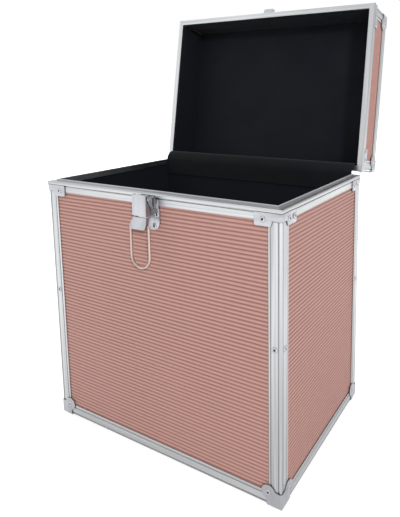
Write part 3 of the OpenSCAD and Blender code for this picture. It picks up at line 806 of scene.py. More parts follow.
def grown(
    build: Callable[[Wiring, Sockets], Socket],
    values: Mapping[str, object],
    finish: Finish,
    carrier: Optional[Mesh] = None,
) -> Mesh:
    """Runs a Geometry Nodes tree once and returns its result as a plain mesh.

    Args:
        build: Adds the tree's own nodes and returns its geometry. The tree is built once.
        values: Its inputs by name.
        finish: What it puts on the real geometry at its end.
        carrier: The mesh that it starts from, if it needs one. It reads it as "Carrier".

    Returns:
        The evaluated mesh, with no modifier left.
    """

    def whole(wire: Wiring, given: Sockets) -> Mapping[str, Socket]:
        """Ends the tree in real geometry with its finish on."""
        real = wire.made("GeometryNodeRealizeInstances", {0: build(wire, given)})
        inputs = {"Geometry": real, "Material": given["Finish"]}
        return {"Geometry": wire.made("GeometryNodeSetMaterial", inputs)}

    values = {**values, "Finish": finish.material()}
    carried = {"Carrier": carrier} if carrier else {}
    seed = linked("seed", carrier or bpy.data.meshes.new("seed"))
    modifier = seed.modifiers.new("grown", "NODES")
    inputs = {**carried, **values}
    modifier.node_group = node_group(build.__name__, whole, "GeometryNodeTree", inputs, "Geometry")
    for item in modifier.node_group.interface.items_tree:
        if item.item_type == "SOCKET" and item.in_out == "INPUT" and item.name in values:
            modifier[item.identifier] = values[item.name]
    bpy.context.view_layer.update()
    mesh = bpy.data.meshes.new_from_object(seed.evaluated_get(bpy.context.evaluated_depsgraph_get()))
    seed.modifiers.remove(modifier)
    bpy.data.objects.remove(seed)
    return mesh


def dressed(name: str, mesh: Mesh, finish: Finish, body: Body, node: str) -> Object:
    """Makes a finished piece of a mesh that is already in place.

    Args:
        name: The piece's name.
        mesh: Its mesh.
        finish: Its finish.
        body: The body that it rides on.
        node: The CAD node that it stands for.

    Returns:
        The piece.
    """
    piece = linked(name, mesh)
    mesh.materials.clear()
    mesh.materials.append(finish.material())
    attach(piece, body.value)
    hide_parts(node)
    LOG.info("%s: %d faces on %s", name, len(mesh.polygons), body.value)
    return piece


# ---- Studio ----


@dataclass(frozen=True)
class Lamp:
    """A square soft box that faces the middle of the case, seen in its metal only if mirrored."""

    name: str
    place: Triple
    size: float
    power: float
    mirrored: bool
    aim: Triple = (0.0, 0.0, 0.25)

    def hang(self) -> None:
        """Puts the lamp in the scene."""
        data = bpy.data.lights.new(self.name, "AREA")
        data.shape, data.size, data.energy = "SQUARE", self.size, self.power
        lamp = bpy.data.objects.new(self.name, data)
        lamp.location = self.place
        lamp.visible_glossy = self.mirrored
        way = Vector(self.aim) - Vector(self.place)
        lamp.rotation_euler = way.to_track_quat("-Z", "Y").to_euler()
        bpy.context.scene.collection.objects.link(lamp)


@dataclass
class Studio:
    """Pale floor, white surroundings, soft lamps and the camera."""

    floor_half: float = 7.0
    floor_cells: int = 8
    floor_under: float = 0.2 * MM
    floor_colour: Colour = (0.66, 0.66, 0.66, 1.0)
    floor_roughness: float = 0.9
    floor_lift: float = 0.62
    shadow_reach: Span = (0.35, 1.0)
    # Painted shade in reflections: the level of the floor that metal mirrors near the case, and the distances
    # over which it rises to white.
    floor_in_metal: float = 0.5
    metal_reach: Span = (0.2, 0.5)
    ambient: float = 0.28
    lamps: tuple[Lamp, ...] = (
        Lamp("key", (2.1, -2.15, 1.5), 0.3, 64.0, False),
        Lamp("back", (-1.9, 2.4, 1.9), 2.4, 66.0, False),
        Lamp("fill", (-2.3, -2.3, 1.7), 3.6, 17.0, True),
        Lamp("over", (0.2, 0.2, 3.0), 3.6, 20.0, True),
    )
    eye: Triple = (0.38131, -0.52489, 0.44008)
    yaw: float = 0.51362
    pitch: float = 0.1429
    roll: float = -0.00448
    focal_px: float = 491.13
    centre_px: Span = (264.0, 163.0)
    image_px: tuple[int, int] = (400, 517)
    sensor: float = 36.0
    clip: Span = (0.02, 60.0)

    def build(self) -> None:
        """Makes the floor, the world, the lamps and the camera."""
        self._floor()
        self._world()
        for lamp in self.lamps:
            lamp.hang()
        self._camera()

    @staticmethod
    def _seen_directly(wire: Wiring) -> Socket:
        """Returns 1 for camera, glossy and transmission rays, and 0 for the rest."""
        path = wire.node("ShaderNodeLightPath").outputs
        seen = wire.math("MAXIMUM", path["Is Camera Ray"], path["Is Glossy Ray"])
        return wire.math("MAXIMUM", seen, path["Is Transmission Ray"])

    def _floor(self) -> None:
        """A wide floor that glows white for camera rays, less near the case so that it keeps a soft shadow
        there, and with painted shade near the case where metal mirrors it.
        """
        work = bmesh.new()
        cells = self.floor_cells
        bmesh.ops.create_grid(work, x_segments=cells, y_segments=cells, size=self.floor_half)
        bmesh.ops.translate(work, verts=work.verts, vec=(0.0, 0.0, -self.floor_under))
        mesh = bpy.data.meshes.new("studio_floor")
        work.to_mesh(mesh)
        work.free()
        floor = linked("studio_floor", mesh)
        material = bpy.data.materials.new("studio_floor")
        shader, wire = principled(material), Wiring(material.node_tree)
        away = wire.length(wire.object_place())
        glow = wire.spread(away, self.shadow_reach, (self.floor_lift, 1.0))
        # Painted shade in reflections: glossy rays see the floor darker near the case.
        in_metal = wire.spread(away, self.metal_reach, (self.floor_in_metal, 1.0))
        glossy = wire.node("ShaderNodeLightPath").outputs["Is Glossy Ray"]
        lift = wire.math("MULTIPLY", self._seen_directly(wire), wire.mixed(glossy, glow, in_metal))
        wire.feed(
            shader,
            {
                "Base Color": self.floor_colour,
                "Roughness": self.floor_roughness,
                "Specular IOR Level": 0.0,
                "Emission Color": WHITE,
                "Emission Strength": lift,
            },
        )
        mesh.materials.append(material)

    def _world(self) -> None:
        """White where it is seen or mirrored, and a plain level of light elsewhere."""
        world = bpy.data.worlds.new("studio")
        bpy.context.scene.world = world
        world.use_nodes = True
        wire = Wiring(world.node_tree)
        world.node_tree.nodes.clear()
        strength = wire.mixed(self._seen_directly(wire), self.ambient, 1.0)
        ground = wire.made("ShaderNodeBackground", {"Color": WHITE, "Strength": strength})
        wire.node("ShaderNodeOutputWorld", {"Surface": ground})

    def _camera(self) -> None:
        """Puts the camera where the reference's lines meet, with its shift."""
        flat = math.cos(self.pitch)
        forward = Vector((-math.sin(self.yaw) * flat, math.cos(self.yaw) * flat, -math.sin(self.pitch)))
        across = forward.cross(Vector((0, 0, 1))).normalized()
        raised = across.cross(forward)
        right = across * math.cos(self.roll) + raised * math.sin(self.roll)
        up = raised * math.cos(self.roll) - across * math.sin(self.roll)
        data = bpy.data.cameras.new("camera")
        longest = max(self.image_px)
        data.sensor_width = self.sensor
        data.lens = self.focal_px / longest * self.sensor
        data.shift_x = (self.image_px[0] / 2 - self.centre_px[0]) / longest
        data.shift_y = (self.centre_px[1] - self.image_px[1] / 2) / longest
        data.clip_start, data.clip_end = self.clip
        camera = bpy.data.objects.new("camera", data)
        turn = Matrix((right, up, -forward)).transposed().to_4x4()
        camera.matrix_world = Matrix.Translation(self.eye) @ turn
        bpy.context.scene.collection.objects.link(camera)
        bpy.context.scene.camera = camera


# ---- Panels ----


@dataclass
class RibbedPanels:
    """The ribbed outer sheets of the body and the lid."""

    case: CaseSizes
    opened: Matrix
    pitch: float = 4.5 * MM
    rib_height: float = 0.6 * MM
    rib_width: float = 3.7 * MM
    margin: float = 1 * MM
    arc_points: int = 9
    sharp_over: float = 32.0

    def build(self) -> None:
        """Makes every sheet in place of its CAD node."""
        case = self.case
        low, high = case.base + case.profile, case.top - case.profile
        for wall in Wall:
            name = wall.name.lower()
            sheet = self._wall_sheet(wall, low, case.rim - case.web)
            dressed(f"{name}_ribbed_sheet", sheet, ROSE, Body.CASE, f"{name}_skin")
        across, deep = case.clear(case.board_in)
        base = self._sheet(across, deep)
        base.transform(level(deep, low, up=False))
        dressed("base_ribbed_sheet", base, ROSE, Body.CASE, "base_skin")
        around = joined([self._wall_sheet(wall, case.lid_rim + case.web, high) for wall in Wall])
        around.transform(self.opened)
        dressed("lid_side_ribbed_sheets", around, ROSE, Body.LID, "lid_side_skins")
        lid = self._sheet(across, deep)
        lid.transform(self.opened @ level(deep, high, up=True))
        dressed("lid_top_ribbed_sheet", lid, ROSE, Body.LID, "lid_top_skin")

    def _wall_sheet(self, wall: Wall, low: float, high: float) -> Mesh:
        """Makes a wall's sheet between two heights, in place."""
        case = self.case
        long = case.clear(case.profile)[0] if wall.spans_width else case.clear(case.board_in)[1]
        mesh = self._sheet(long, high - low)
        mesh.transform(case.on_wall(wall, case.profile, low))
        return mesh

    def _sheet(self, length: float, height: float) -> Mesh:
        """Makes a sheet: X along its ribs, -Y out of them, Z up it from 0, crests at Y = 0."""
        values = {
            "Length": length,
            "Height": height,
            "Thickness": self.case.sheet,
            "Rib height": self.rib_height,
            "Rib width": self.rib_width,
            "Rib pitch": self.pitch,
            "Ribs": math.floor((height - self.margin) / self.pitch),
            "Arc points": self.arc_points,
        }
        mesh = grown(self.ribbed_sheet, values, ROSE)
        smoothed(mesh, self.sharp_over)
        return mesh

    @staticmethod
    def ribbed_sheet(wire: Wiring, given: Sockets) -> Socket:
        """Lays rounded bars at a pitch on a thin plate.

        Args:
            wire: The tree.
            given: Its inputs.

        Returns:
            The sheet's geometry, with the height of each rib's points as "crest".
        """
        half, tall = wire.math("DIVIDE", given["Rib width"], 2.0), given["Rib height"]
        squares = wire.math("ADD", wire.math("MULTIPLY", half, half), wire.math("MULTIPLY", tall, tall))
        radius = wire.math("DIVIDE", squares, wire.math("MULTIPLY", tall, 2.0))
        open_half = wire.math("ARCSINE", wire.math("DIVIDE", half, radius))
        start, sweep = wire.math("SUBTRACT", QUARTER, open_half), wire.math("MULTIPLY", open_half, 2.0)
        inputs = {"Resolution": given["Arc points"], "Radius": radius}
        arc = wire.made("GeometryNodeCurveArc", {**inputs, "Start Angle": start, "Sweep Angle": sweep})
        section = wire.placed(arc, wire.vector(Y=wire.math("SUBTRACT", tall, radius)))
        closed = wire.made("GeometryNodeSetSplineCyclic", {0: section, "Cyclic": True})
        outline = wire.made("GeometryNodeFillCurve", {0: closed}, mode="NGONS")
        long = {"Offset": wire.vector(Z=1.0), "Offset Scale": given["Length"], "Individual": False}
        bar = wire.made("GeometryNodeExtrudeMesh", {"Mesh": outline, **long}, mode="FACES")
        whole = wire.merged(bar, wire.made("GeometryNodeFlipFaces", {0: outline}))
        solid = wire.made("GeometryNodeMergeByDistance", {"Geometry": whole, "Distance": MERGE / 2})
        at = wire.parted(wire.made("GeometryNodeInputPosition"))
        # The rib's height, which the sheet's finish turns into painted shade and painted highlight.
        marked = wire.marked(solid, "crest", wire.math("DIVIDE", at["Y"], tall))
        # Section up (+Y) becomes out (-Y), and its depth (+Z) becomes along (+X), centred
        shift = wire.vector(X=wire.math("DIVIDE", given["Length"], -2.0), Y=tall)
        laid = wire.placed(marked, shift, (math.pi, -QUARTER, 0.0))
        spare = wire.math("MULTIPLY", wire.math("SUBTRACT", given["Ribs"], 1.0), given["Rib pitch"])
        first = wire.math("DIVIDE", wire.math("SUBTRACT", given["Height"], spare), 2.0)
        start, offset = wire.vector(Z=first), wire.vector(Z=given["Rib pitch"])
        inputs = {"Count": given["Ribs"], "Start Location": start, "Offset": offset}
        line = wire.made("GeometryNodeMeshLine", inputs, mode="OFFSET")
        ribs = wire.made("GeometryNodeInstanceOnPoints", {"Points": line, "Instance": laid})
        deep = wire.math("SUBTRACT", given["Thickness"], tall)
        size = wire.vector(X=given["Length"], Y=deep, Z=given["Height"])
        back = wire.math("ADD", tall, wire.math("DIVIDE", deep, 2.0))
        middle = wire.vector(Y=back, Z=wire.math("DIVIDE", given["Height"], 2.0))
        plate = wire.placed(wire.made("GeometryNodeMeshCube", {"Size": size}), middle)
        return wire.merged(ribs, plate)


# ---- Linings ----


@dataclass
class Linings:
    """Felt-covered pads glued to the insides of the body and the lid."""

    case: CaseSizes
    opened: Matrix
    edge: float = 1.6 * MM
    edge_steps: int = 4
    shoulder: float = 2.2
    cell: float = 12 * MM
    ripple: float = 0.12 * MM
    ripple_scale: float = 17.0
    ripple_seed: float = 31.0
    calm_edges: float = 4.0
    tuck: float = 0.15 * MM
    deepest: float = 0.85
    sharp_over: float = 60.0

    def build(self) -> None:
        """Makes every pad in place of the plain linings."""
        case, still = self.case, Matrix.Identity(4)
        floor, ceiling = case.base + case.wall, case.top - case.wall
        across, deep = case.clear(case.lining_in)
        walls = (
            ("wall_lining", "wall_linings", Body.CASE, still, floor, case.rim - case.body_lip),
            ("lid_lining", "lid_linings", Body.LID, self.opened, case.lid_rim + case.lid_lip, ceiling),
        )
        flats = (
            ("floor_lining_pad", "floor_lining", Body.CASE, level(deep, floor, up=True)),
            ("lid_lining_top", "lid_linings", Body.LID, self.opened @ level(deep, ceiling, up=False)),
        )
        for (name, node, body, turn, low, high), flat in zip(walls, flats):
            for wall in Wall:
                pad = self._wall_pad(wall, low, high)
                pad.transform(turn)
                self._finish(f"{name}_{wall.name.lower()}", pad, body, node)
            name, node, body, place = flat
            pad = self._pad(across, deep)
            pad.transform(place)
            self._finish(name, pad, body, node)

    @staticmethod
    def _finish(name: str, mesh: Mesh, body: Body, node: str) -> None:
        """Dresses a pad."""
        piece = dressed(name, mesh, LINING, body, node)

    def _wall_pad(self, wall: Wall, low: float, high: float) -> Mesh:
        """Makes the pad of a wall between two heights, facing inwards."""
        case = self.case
        long = case.clear(case.lining_in)[0] if wall.spans_width else case.clear(case.wall)[1]
        mesh = self._pad(long, high - low)
        mesh.transform(case.on_wall(wall, case.wall, low) @ Matrix.Rotation(math.pi, 4, "Z"))
        return mesh

    def _stations(self, length: float) -> list[float]:
        """Returns distances along a side, close together where its edge rolls over."""
        steps = self.edge_steps
        roll = [self.edge * (1 - math.cos(QUARTER * i / steps)) for i in range(steps)]
        roll += [self.edge, self.edge * self.shoulder]
        inner = length - 2 * roll[-1]
        cells = max(2, round(inner / self.cell))
        middle = [roll[-1] + inner * i / cells for i in range(1, cells)]
        return roll + middle + [length - r for r in reversed(roll)]

    def _rolled(self, distance: float) -> float:
        """Returns how far the face has dropped back at this distance from an edge."""
        share = 1 - min(distance, self.edge) / self.edge
        return self.edge * (1 - math.sqrt(max(0.0, 1 - share * share)))

    def _pad(self, length: float, height: float) -> Mesh:
        """Makes a pad.

        Args:
            length: Its length, along X and centred.
            height: Its height, up Z from 0.

        Returns:
            Its mesh, with its shown face at Y = 0 and its back at Y = the lining's thickness.
        """
        thick, seed = self.case.lining, length * self.ripple_seed
        work = bmesh.new()
        rows = []
        for z in self._stations(height):
            row = []
            for x in (x - length / 2 for x in self._stations(length)):
                beside, above = length / 2 - abs(x), min(z, height - z)
                place = Vector((x * self.ripple_scale, z * self.ripple_scale, seed))
                calm = min(1.0, min(beside, above) / (self.calm_edges * self.edge))
                drop = self._rolled(beside) + self._rolled(above)
                drop += self.tuck + noise.noise(place) * self.ripple * calm
                row.append(work.verts.new((x, min(thick * self.deepest, drop), z)))
            rows.append(row)
        back = [[work.verts.new((v.co.x, thick, v.co.z)) for v in row] for row in (rows[0], rows[-1])]
        sides = [
            [work.verts.new((row[column].co.x, thick, row[column].co.z)) for row in rows[1:-1]]
            for column in (0, -1)
        ]
        webbed(work, rows)
        webbed(work, (rows[0], back[0]))
        webbed(work, (rows[-1], back[1]))
        for column, side in zip((0, -1), sides):
            webbed(work, ([row[column] for row in rows], [back[0][column], *side, back[1][column]]))
        work.faces.new([*back[0], *sides[1], *reversed(back[1]), *reversed(sides[0])])
        faced_out(work)
        uv = work.loops.layers.uv.new(CLOTH_UV)
        for face in work.faces:
            for loop in face.loops:
                loop[uv].uv = (loop.vert.co.x, loop.vert.co.z)
        return closed_off(work, self.sharp_over)


# ---- CAD nodes that keep their shape ----


@dataclass
class Extrusions:
    """Posts, edges, rims and boards: the frame's own solids, with lines along each profile."""

    nodes: Mapping[str, Object]

    def build(self) -> None:
        """Gives every profile its aluminium and every board its plywood."""
        for name, node in self.nodes.items():
            finish = self._finish_of(name)
            if finish is not None:
                node.data.materials.clear()
                node.data.materials.append(finish.material())

    @staticmethod
    def _finish_of(name: str) -> Optional[Finish]:
        """Returns a profile's or a board's finish, or None if the node is neither."""
        on_lid = name.startswith("lid_")
        if name.endswith(("_board", "_boards")):
            return BIRCH
        if "corner_profile" in name:
            return aluminium(Run.UP, on_lid)
        if name.startswith(("base_edge_", "rim_", "lid_edge_", "lid_rim_")):
            for run, ends in ((Run.ACROSS, ("front", "back")), (Run.DEEP, ("left", "right"))):
                if name.endswith(ends):
                    return aluminium(run, on_lid)
        return None


@dataclass
class Pressings:
    """Corner caps, brackets, latch plates, hinge leaves and small parts, with their edges softened."""

    nodes: Mapping[str, Object]
    soft_edge: float = 0.22 * MM
    soften_over: float = 38.0
    sharp_over: float = 34.0

    def build(self) -> None:
        """Makes a softened copy of each pressing in place of its node."""
        up, across = plated(Run.UP, False), plated(Run.ACROSS, False)
        lid_up, lid_across = plated(Run.UP, True), plated(Run.ACROSS, True)
        wanted = (
            ("base_corner_caps", Body.CASE, up),
            ("rim_corner_brackets", Body.CASE, across),
            ("lid_corner_caps", Body.LID, lid_up),
            ("lid_rim_brackets", Body.LID, lid_across),
            ("latch_base", Body.CASE, up),
            ("latch_lever", Body.LEVER, up),
            ("lid_catch", Body.LID, lid_up),
            ("hinge_body_leaves", Body.CASE, across),
            ("hinge_lid_leaves", Body.LID, lid_across),
            ("handle_brackets", Body.LID, lid_up),
            ("latch_pin", Body.CASE, PIN),
            ("hinge_pins", Body.CASE, PIN),
            ("handle_pins", Body.LID, PIN),
            ("feet", Body.CASE, RUBBER),
            ("foot_screws", Body.CASE, PIN),
        )
        for node, body, finish in wanted:
            dressed(f"{node}_finished", self._softened(self.nodes[node]), finish, body, node)

    def _softened(self, node: Object) -> Mesh:
        """Copies a node's mesh, makes its flat faces whole and rounds its sharp edges a little."""
        work = sewn(node)
        bmesh.ops.dissolve_limit(work, angle_limit=COPLANAR, verts=work.verts, edges=work.edges)
        limit = math.radians(self.soften_over)
        sharp = [e for e in work.edges if len(e.link_faces) == 2 and e.calc_face_angle(0.0) > limit]
        form = {"segments": 2, "profile": 0.5, "affect": "EDGES", "clamp_overlap": True}
        bmesh.ops.bevel(work, geom=sharp, offset=self.soft_edge, **form)
        return closed_off(work, self.sharp_over)


# ---- Rivets ----


@dataclass
class Rivets:
    """Hollow rivets: a rolled head with a pocket in the middle."""

    nodes: Mapping[str, Object]
    opened: Matrix
    radius: float = 3.2 * MM
    height: float = 1.1 * MM
    sides: int = 24
    rings: int = 7
    body_middle: float = 166 * MM
    lid_middle: float = 345 * MM

    def build(self) -> None:
        """Makes the rivets of the body, the latch and the lid in place of their nodes."""
        still = Matrix.Identity(4)
        for node, body, turn, middle in (
            ("body_rivets", Body.CASE, still, self.body_middle),
            ("latch_rivets", Body.CASE, still, self.body_middle),
            ("lid_rivets", Body.LID, self.opened, self.lid_middle),
        ):
            mesh = self._heads(self.nodes[node], turn, middle)
            smoothed(mesh)
            dressed(f"{node}_rolled", mesh, RIVET, body, node)

    def _heads(self, node: Object, turn: Matrix, middle: float) -> Mesh:
        """Grows a head over each rivet of a node.

        Args:
            node: The node.
            turn: What took it from the shut case to its place.
            middle: The height over which its upright rivets look up, and under which they look down.

        Returns:
            The heads' mesh.
        """
        seats, ways = [], []
        centre = Vector((0.0, 0.0, middle))
        for points in islands(node, turn.inverted()):
            low = Vector([min(p[i] for p in points) for i in range(3)])
            high = Vector([max(p[i] for p in points) for i in range(3)])
            size, seat = high - low, (low + high) / 2
            axis = min(range(3), key=lambda i: size[i])
            way = Vector((0.0, 0.0, 0.0))
            way[axis] = 1.0 if seat[axis] > centre[axis] else -1.0
            seats.append(turn @ (seat - way * size[axis] / 2))
            ways.append(turn.to_3x3() @ way)
        carrier = bpy.data.meshes.new("rivet_points")
        carrier.from_pydata(seats, [], [])
        out = carrier.attributes.new("out", "FLOAT_VECTOR", "POINT")
        for i, way in enumerate(ways):
            out.data[i].vector = way
        values = {"Radius": self.radius, "Head height": self.height, "Sides": self.sides, "Rings": self.rings}
        return grown(self.rolled_heads, values, RIVET, carrier)

    @staticmethod
    def rolled_heads(wire: Wiring, given: Sockets) -> Socket:
        """Puts a rolled head on every point, along its "out".

        Args:
            wire: The tree.
            given: Its inputs.

        Returns:
            The heads' geometry, with 1 inside each pocket as "pocket".
        """
        pocket_span, blank_depth = (0.34, 0.46), 0.2 * MM
        inputs = {"Vertices": given["Sides"], "Fill Segments": given["Rings"], "Radius": given["Radius"]}
        inputs |= {"Side Segments": 1, "Depth": blank_depth}
        blank = wire.made("GeometryNodeMeshCylinder", inputs, fill_type="TRIANGLE_FAN")
        at = wire.parted(wire.made("GeometryNodeInputPosition"))
        share = wire.math("DIVIDE", wire.length(wire.vector(X=at["X"], Y=at["Y"])), given["Radius"])
        section = wire.node("ShaderNodeFloatCurve", {"Value": share})
        Rivets._draw_section(section)
        raised = wire.math("MULTIPLY", section.outputs[0], given["Head height"])
        on_top = wire.math("GREATER_THAN", at["Z"], 0.0)
        inputs = {"Geometry": blank, "Selection": on_top, "Offset": wire.vector(Z=raised)}
        head = wire.made("GeometryNodeSetPosition", inputs)
        # The pocket's mask, which the rivet metal turns into painted shade.
        pocketed = wire.marked(head, "pocket", wire.spread(share, pocket_span, (1.0, 0.0)))
        way = wire.made("GeometryNodeInputNamedAttribute", {"Name": "out"}, data_type="FLOAT_VECTOR")
        aim = wire.made("FunctionNodeAlignRotationToVector", {"Vector": way}, axis="Z")
        inputs = {"Points": given["Carrier"], "Instance": pocketed, "Rotation": aim}
        return wire.made("GeometryNodeInstanceOnPoints", inputs)

    @staticmethod
    def _draw_section(node: Node) -> None:
        """Draws the head's section, from the middle of the pocket to the edge."""
        curve = node.mapping.curves[0]
        wanted = ((0.0, 0.1), (0.34, 0.1), (0.46, 0.76), (0.57, 0.94), (0.71, 0.88), (0.86, 0.6), (1.0, 0.08))
        while len(curve.points) < len(wanted):
            curve.points.new(0.5, 0.5)
        for point, place in zip(curve.points, wanted):
            point.location = place
        node.mapping.update()


# ---- Latch ----


@dataclass
class LatchBail:
    """The wire loop of the latch, bent in at its two ends."""

    pivot: Vector
    stub_in: float = 8.5 * MM
    half: float = 13.5 * MM
    bend: float = 2.4 * MM
    lead: float = 1 * MM
    long: float = 48.94 * MM
    wire: float = 1.5 * MM
    sides: int = 20
    bend_steps: int = 8
    leg_steps: int = 5
    round_steps: int = 12

    def build(self) -> None:
        """Sweeps the wire along its path in place of the node."""
        points = [p + self.pivot for p in self._path()]
        carrier = bpy.data.meshes.new("bail_path")
        carrier.from_pydata(points, [(i, i + 1) for i in range(len(points) - 1)], [])
        values = {"Wire radius": self.wire, "Sides": self.sides}
        work = opened_up(grown(self.swept_wire, values, WIRE, carrier))
        faced_out(work)
        dressed("latch_bail_wire", closed_off(work), WIRE, Body.BAIL, "latch_bail")

    def _path(self) -> list[Vector]:
        """Returns the wire's middle line, from one end to the other."""
        inner, low = self.half - self.bend, self.half - self.long
        right = [(self.stub_in, 0.0), (inner - self.lead, 0.0)]
        for i in range(self.bend_steps + 1):
            turn = QUARTER * i / self.bend_steps
            right.append((inner + self.bend * math.sin(turn), self.bend * (math.cos(turn) - 1)))
        for i in range(1, self.leg_steps):
            right.append((self.half, (low + self.bend) * i / self.leg_steps - self.bend))
        for i in range(self.round_steps + 1):
            turn = QUARTER * i / self.round_steps
            right.append((self.half * math.cos(turn), low - self.half * math.sin(turn)))
        left = [(-x, z) for x, z in reversed(right[:-1])]
        return [Vector((x, 0.0, z)) for x, z in right + left]

    @staticmethod
    def swept_wire(wire: Wiring, given: Sockets) -> Socket:
        """Sweeps a round wire along a chain of edges."""
        path = wire.made("GeometryNodeMeshToCurve", {"Mesh": given["Carrier"]})
        inputs = {"Resolution": given["Sides"], "Radius": given["Wire radius"]}
        ring = wire.made("GeometryNodeCurvePrimitiveCircle", inputs)
        inputs = {"Curve": path, "Profile Curve": ring, "Fill Caps": True}
        return wire.made("GeometryNodeCurveToMesh", inputs)


# ---- Hinge strip ----

Station = tuple[Vector, Vector]


@dataclass
class HingeStrip:
    """The cloth strip that covers the hinge line inside, from the body's lining to the lid's."""

    case: CaseSizes
    axis: Vector
    opening: float
    radius: float = 13.4 * MM
    flap: float = 22 * MM
    thick: float = 0.8 * MM
    slack: float = 1 * MM
    ripple: float = 0.12 * MM
    ripple_scale: Span = (22.0, 60.0)
    ripple_seed: float = 3.1
    calm: float = 6 * MM
    arc_steps: int = 16
    flap_steps: int = 5
    cells: int = 44

    def build(self) -> None:
        section = self._section()
        width = self.case.clear(self.case.wall)[0] - 2 * self.slack
        travelled = [0.0]
        for (first, _), (second, _) in zip(section, section[1:]):
            travelled.append(travelled[-1] + (second - first).length)
        mesh = self._mesh(section, travelled, width)
        mesh.materials.append(STRIP.material())
        piece = linked("hinge_cover_strip", mesh)
        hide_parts("hinge_cover")
        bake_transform(piece)
        LOG.info("hinge_cover_strip: %d faces, %.1f mm long", len(mesh.polygons), travelled[-1] / MM)

    def _mesh(self, section: Sequence[Station], travelled: Sequence[float], width: float) -> Mesh:
        """Makes the strip's two faces and closes their edges.

        Args:
            section: Points of its middle, with the way towards the hinge at each.
            travelled: The way along the strip to each of them.
            width: The strip's width.

        Returns:
            Its mesh, with a map of its flat form.
        """
        work = bmesh.new()
        uv = work.loops.layers.uv.new(CLOTH_UV)
        step = width / self.cells
        layers = []
        for side in (-0.5, 0.5):
            rows = []
            for (point, out), run in zip(section, travelled):
                calm = min(1.0, min(run, travelled[-1] - run) / self.calm)
                row = []
                for i in range(self.cells + 1):
                    x = width * (i / self.cells - 0.5)
                    wave = Vector((x * self.ripple_scale[0], run * self.ripple_scale[1], self.ripple_seed))
                    lift = noise.noise(wave) * self.ripple * calm
                    place = point + out * (self.thick * side + lift)
                    row.append(work.verts.new((x, place.x, place.y)))
                rows.append(row)
            layers.append(rows)

        def quad(corners: Sequence[BMVert], places: Sequence[tuple[int, int]]) -> None:
            """Adds a face whose corners take these places, by column and row, on the map."""
            for loop, (column, row) in zip(work.faces.new(corners).loops, places):
                loop[uv].uv = (column * step, travelled[row])

        last = len(section) - 1
        for rows in layers:
            for r in range(last):
                for i in range(self.cells):
                    places = ((i, r), (i + 1, r), (i + 1, r + 1), (i, r + 1))
                    quad([rows[row][column] for column, row in places], places)
        near, far = layers
        for r in (0, last):
            for i in range(self.cells):
                quad((near[r][i], near[r][i + 1], far[r][i + 1], far[r][i]), ((i, r),) * 4)
        for i in (0, self.cells):
            for r in range(last):
                quad((near[r][i], near[r + 1][i], far[r + 1][i], far[r][i]), ((i, r),) * 4)
        faced_out(work)
        return closed_off(work)

    def _section(self) -> list[Station]:
        """Returns points (y, z) of the strip's middle, with the way towards the hinge at each."""
        middle = self.radius + self.thick / 2
        centre = Vector((self.axis.y, self.axis.z))
        found = []
        for i in range(self.flap_steps):
            down = self.flap * (1 - i / self.flap_steps)
            found.append((centre + Vector((-middle, -down)), Vector((1.0, 0.0))))
        for i in range(self.arc_steps + 1):
            turn = self.opening * i / self.arc_steps
            way = Vector((-math.cos(turn), math.sin(turn)))
            found.append((centre + way * middle, -way))
        end = found[-1][0]
        along = Vector((math.sin(self.opening), math.cos(self.opening)))
        for i in range(1, self.flap_steps + 1):
            found.append((end + along * (self.flap * i / self.flap_steps), -way))
        return found


# ---- Handle ----

Ring = tuple[Vector, Vector, float, float, float]


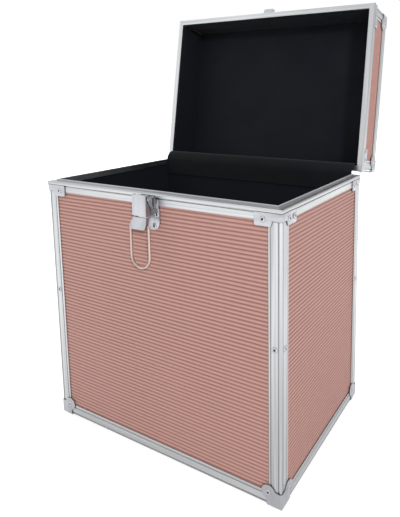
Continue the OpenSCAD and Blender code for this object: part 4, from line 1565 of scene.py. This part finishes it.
@dataclass
class HandleGrip:
    """The moulded grip: two eyes, two arms and a bar with shallow finger waves."""

    pivot: Vector
    span: float = 124 * MM
    rise: float = 34 * MM
    arm_half: float = 3.5 * MM
    arm_deep: float = 6 * MM
    arm_swell: float = 0.8 * MM
    corner: float = 8 * MM
    corner_widen: float = 2.4 * MM
    corner_deepen: float = 0.9 * MM
    bar_half: float = 8.6 * MM
    bar_run_in: float = 0.12
    wave: float = 0.45 * MM
    waves: int = 4
    eye_heights_mm: tuple[float, ...] = (5.98, 5.7, 5.2, 4.4, 3.2, 1.6, 0.0)
    eye_least: float = 0.2 * MM
    squareness: tuple[float, float, float, float] = (5.0, 3.4, 2.4, 2.0)
    arm_steps: int = 5
    corner_steps: int = 8
    bar_steps: int = 33
    sides: int = 28

    def build(self) -> None:
        """Lofts the grip in place of its node."""
        work = bmesh.new()
        half = self._half()
        mirrored = [
            (Vector((-centre.x, 0, centre.z)), Vector((-way.x, 0, way.z)), *rest)
            for centre, way, *rest in reversed(half)
        ]
        rings = [self._ring(work, *ring) for ring in (*half, *self._bar(), *mirrored)]
        webbed(work, rings, ringed=True)
        work.faces.new(rings[0])
        work.faces.new(rings[-1])
        faced_out(work)
        mesh = closed_off(work)
        dressed("handle_grip_moulded", mesh, GRIP, Body.HANDLE, "handle_grip")

    def _ring(
        self, work: BMesh, centre: Vector, way: Vector, wide: float, deep: float, square: float
    ) -> list[BMVert]:
        """Adds the vertices of a rounded square.

        Args:
            work: The BMesh.
            centre: Its middle, from the handle's pivot.
            way: The way of its width. Its depth is along Y.
            wide: Its half width.
            deep: Its half depth.
            square: How square it is: 2 is an ellipse.

        Returns:
            The vertices, in order.
        """
        ring = []
        for i in range(self.sides):
            turn = 2 * math.pi * i / self.sides
            c, s = math.cos(turn), math.sin(turn)
            u = wide * math.copysign(abs(c) ** (2 / square), c)
            v = deep * math.copysign(abs(s) ** (2 / square), s)
            ring.append(work.verts.new(self.pivot + centre + way * u + Vector((0, v, 0))))
        return ring

    def _half(self) -> list[Ring]:
        """Returns the rings of the left eye, arm and corner: middle, way, half sizes and squareness."""
        edge, straight = self.span / 2, self.rise - self.corner
        eye, arm, corner, _ = self.squareness
        across = Vector((1, 0, 0))
        rings: list[Ring] = []
        for height in self.eye_heights_mm:
            z = height * MM
            deep = math.sqrt(max(self.eye_least**2, self.arm_deep**2 - z * z))
            rings.append((Vector((-edge, 0, z)), across, self.arm_half, deep, eye))
        for i in range(1, self.arm_steps + 1):
            share = i / self.arm_steps
            deep = self.arm_deep + self.arm_swell * share**2
            place = Vector((-edge, 0, -straight * share))
            rings.append((place, across, self.arm_half, deep, eye + (arm - eye) * share))
        for i in range(1, self.corner_steps + 1):
            share = i / self.corner_steps
            c, s = math.cos(QUARTER * share), math.sin(QUARTER * share)
            place = Vector((self.corner * (1 - c) - edge, 0, -straight - self.corner * s))
            wide = self.arm_half + self.corner_widen * share
            deep = self.arm_deep + self.arm_swell + self.corner_deepen * share
            rings.append((place, Vector((c, 0, s)), wide, deep, arm + (corner - arm) * share))
        return rings

    def _bar(self) -> list[Ring]:
        """Returns the rings of the bar, as _half() does."""
        long = self.span - 2 * self.corner
        wide = self.arm_half + self.corner_widen
        deep = self.arm_deep + self.arm_swell + self.corner_deepen
        *_, corner, bar = self.squareness
        rings: list[Ring] = []
        for i in range(1, self.bar_steps):
            share = i / self.bar_steps
            full = min(1.0, min(share, 1 - share) / self.bar_run_in)
            full = full * full * (3 - 2 * full)
            wave = self.wave * (math.cos(2 * math.pi * self.waves * share) - 1) * full
            sizes = (end + (self.bar_half - end) * full + wave for end in (wide, deep))
            place = Vector((long * (share - 0.5), 0, -self.rise))
            rings.append((place, Vector((0, 0, 1)), *sizes, corner + (bar - corner) * full))
        return rings


def main() -> None:
    """Builds the case in order."""
    logging.basicConfig(level=logging.INFO, format="%(name)s: %(message)s")
    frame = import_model()
    nodes = frame["nodes"]
    hinges = {joint["name"]: joint for joint in frame["joints"]}
    lid_hinge = hinges["lid_hinge"]
    opened = lid_turn(lid_hinge)
    case = CaseSizes()

    Studio().build()
    Extrusions(nodes).build()
    RibbedPanels(case, opened).build()
    Linings(case, opened).build()
    Pressings(nodes).build()
    Rivets(nodes, opened).build()
    LatchBail(Vector(hinges["latch_bail"]["pos_m"])).build()
    HandleGrip(Vector(hinges["handle_fold"]["pos_m"])).build()
    HingeStrip(case, Vector(lid_hinge["pos_m"]), math.radians(lid_hinge["range_deg"][1])).build()

    bpy.context.scene.view_settings.view_transform = "Standard"


if __name__ == "__main__":
    main()
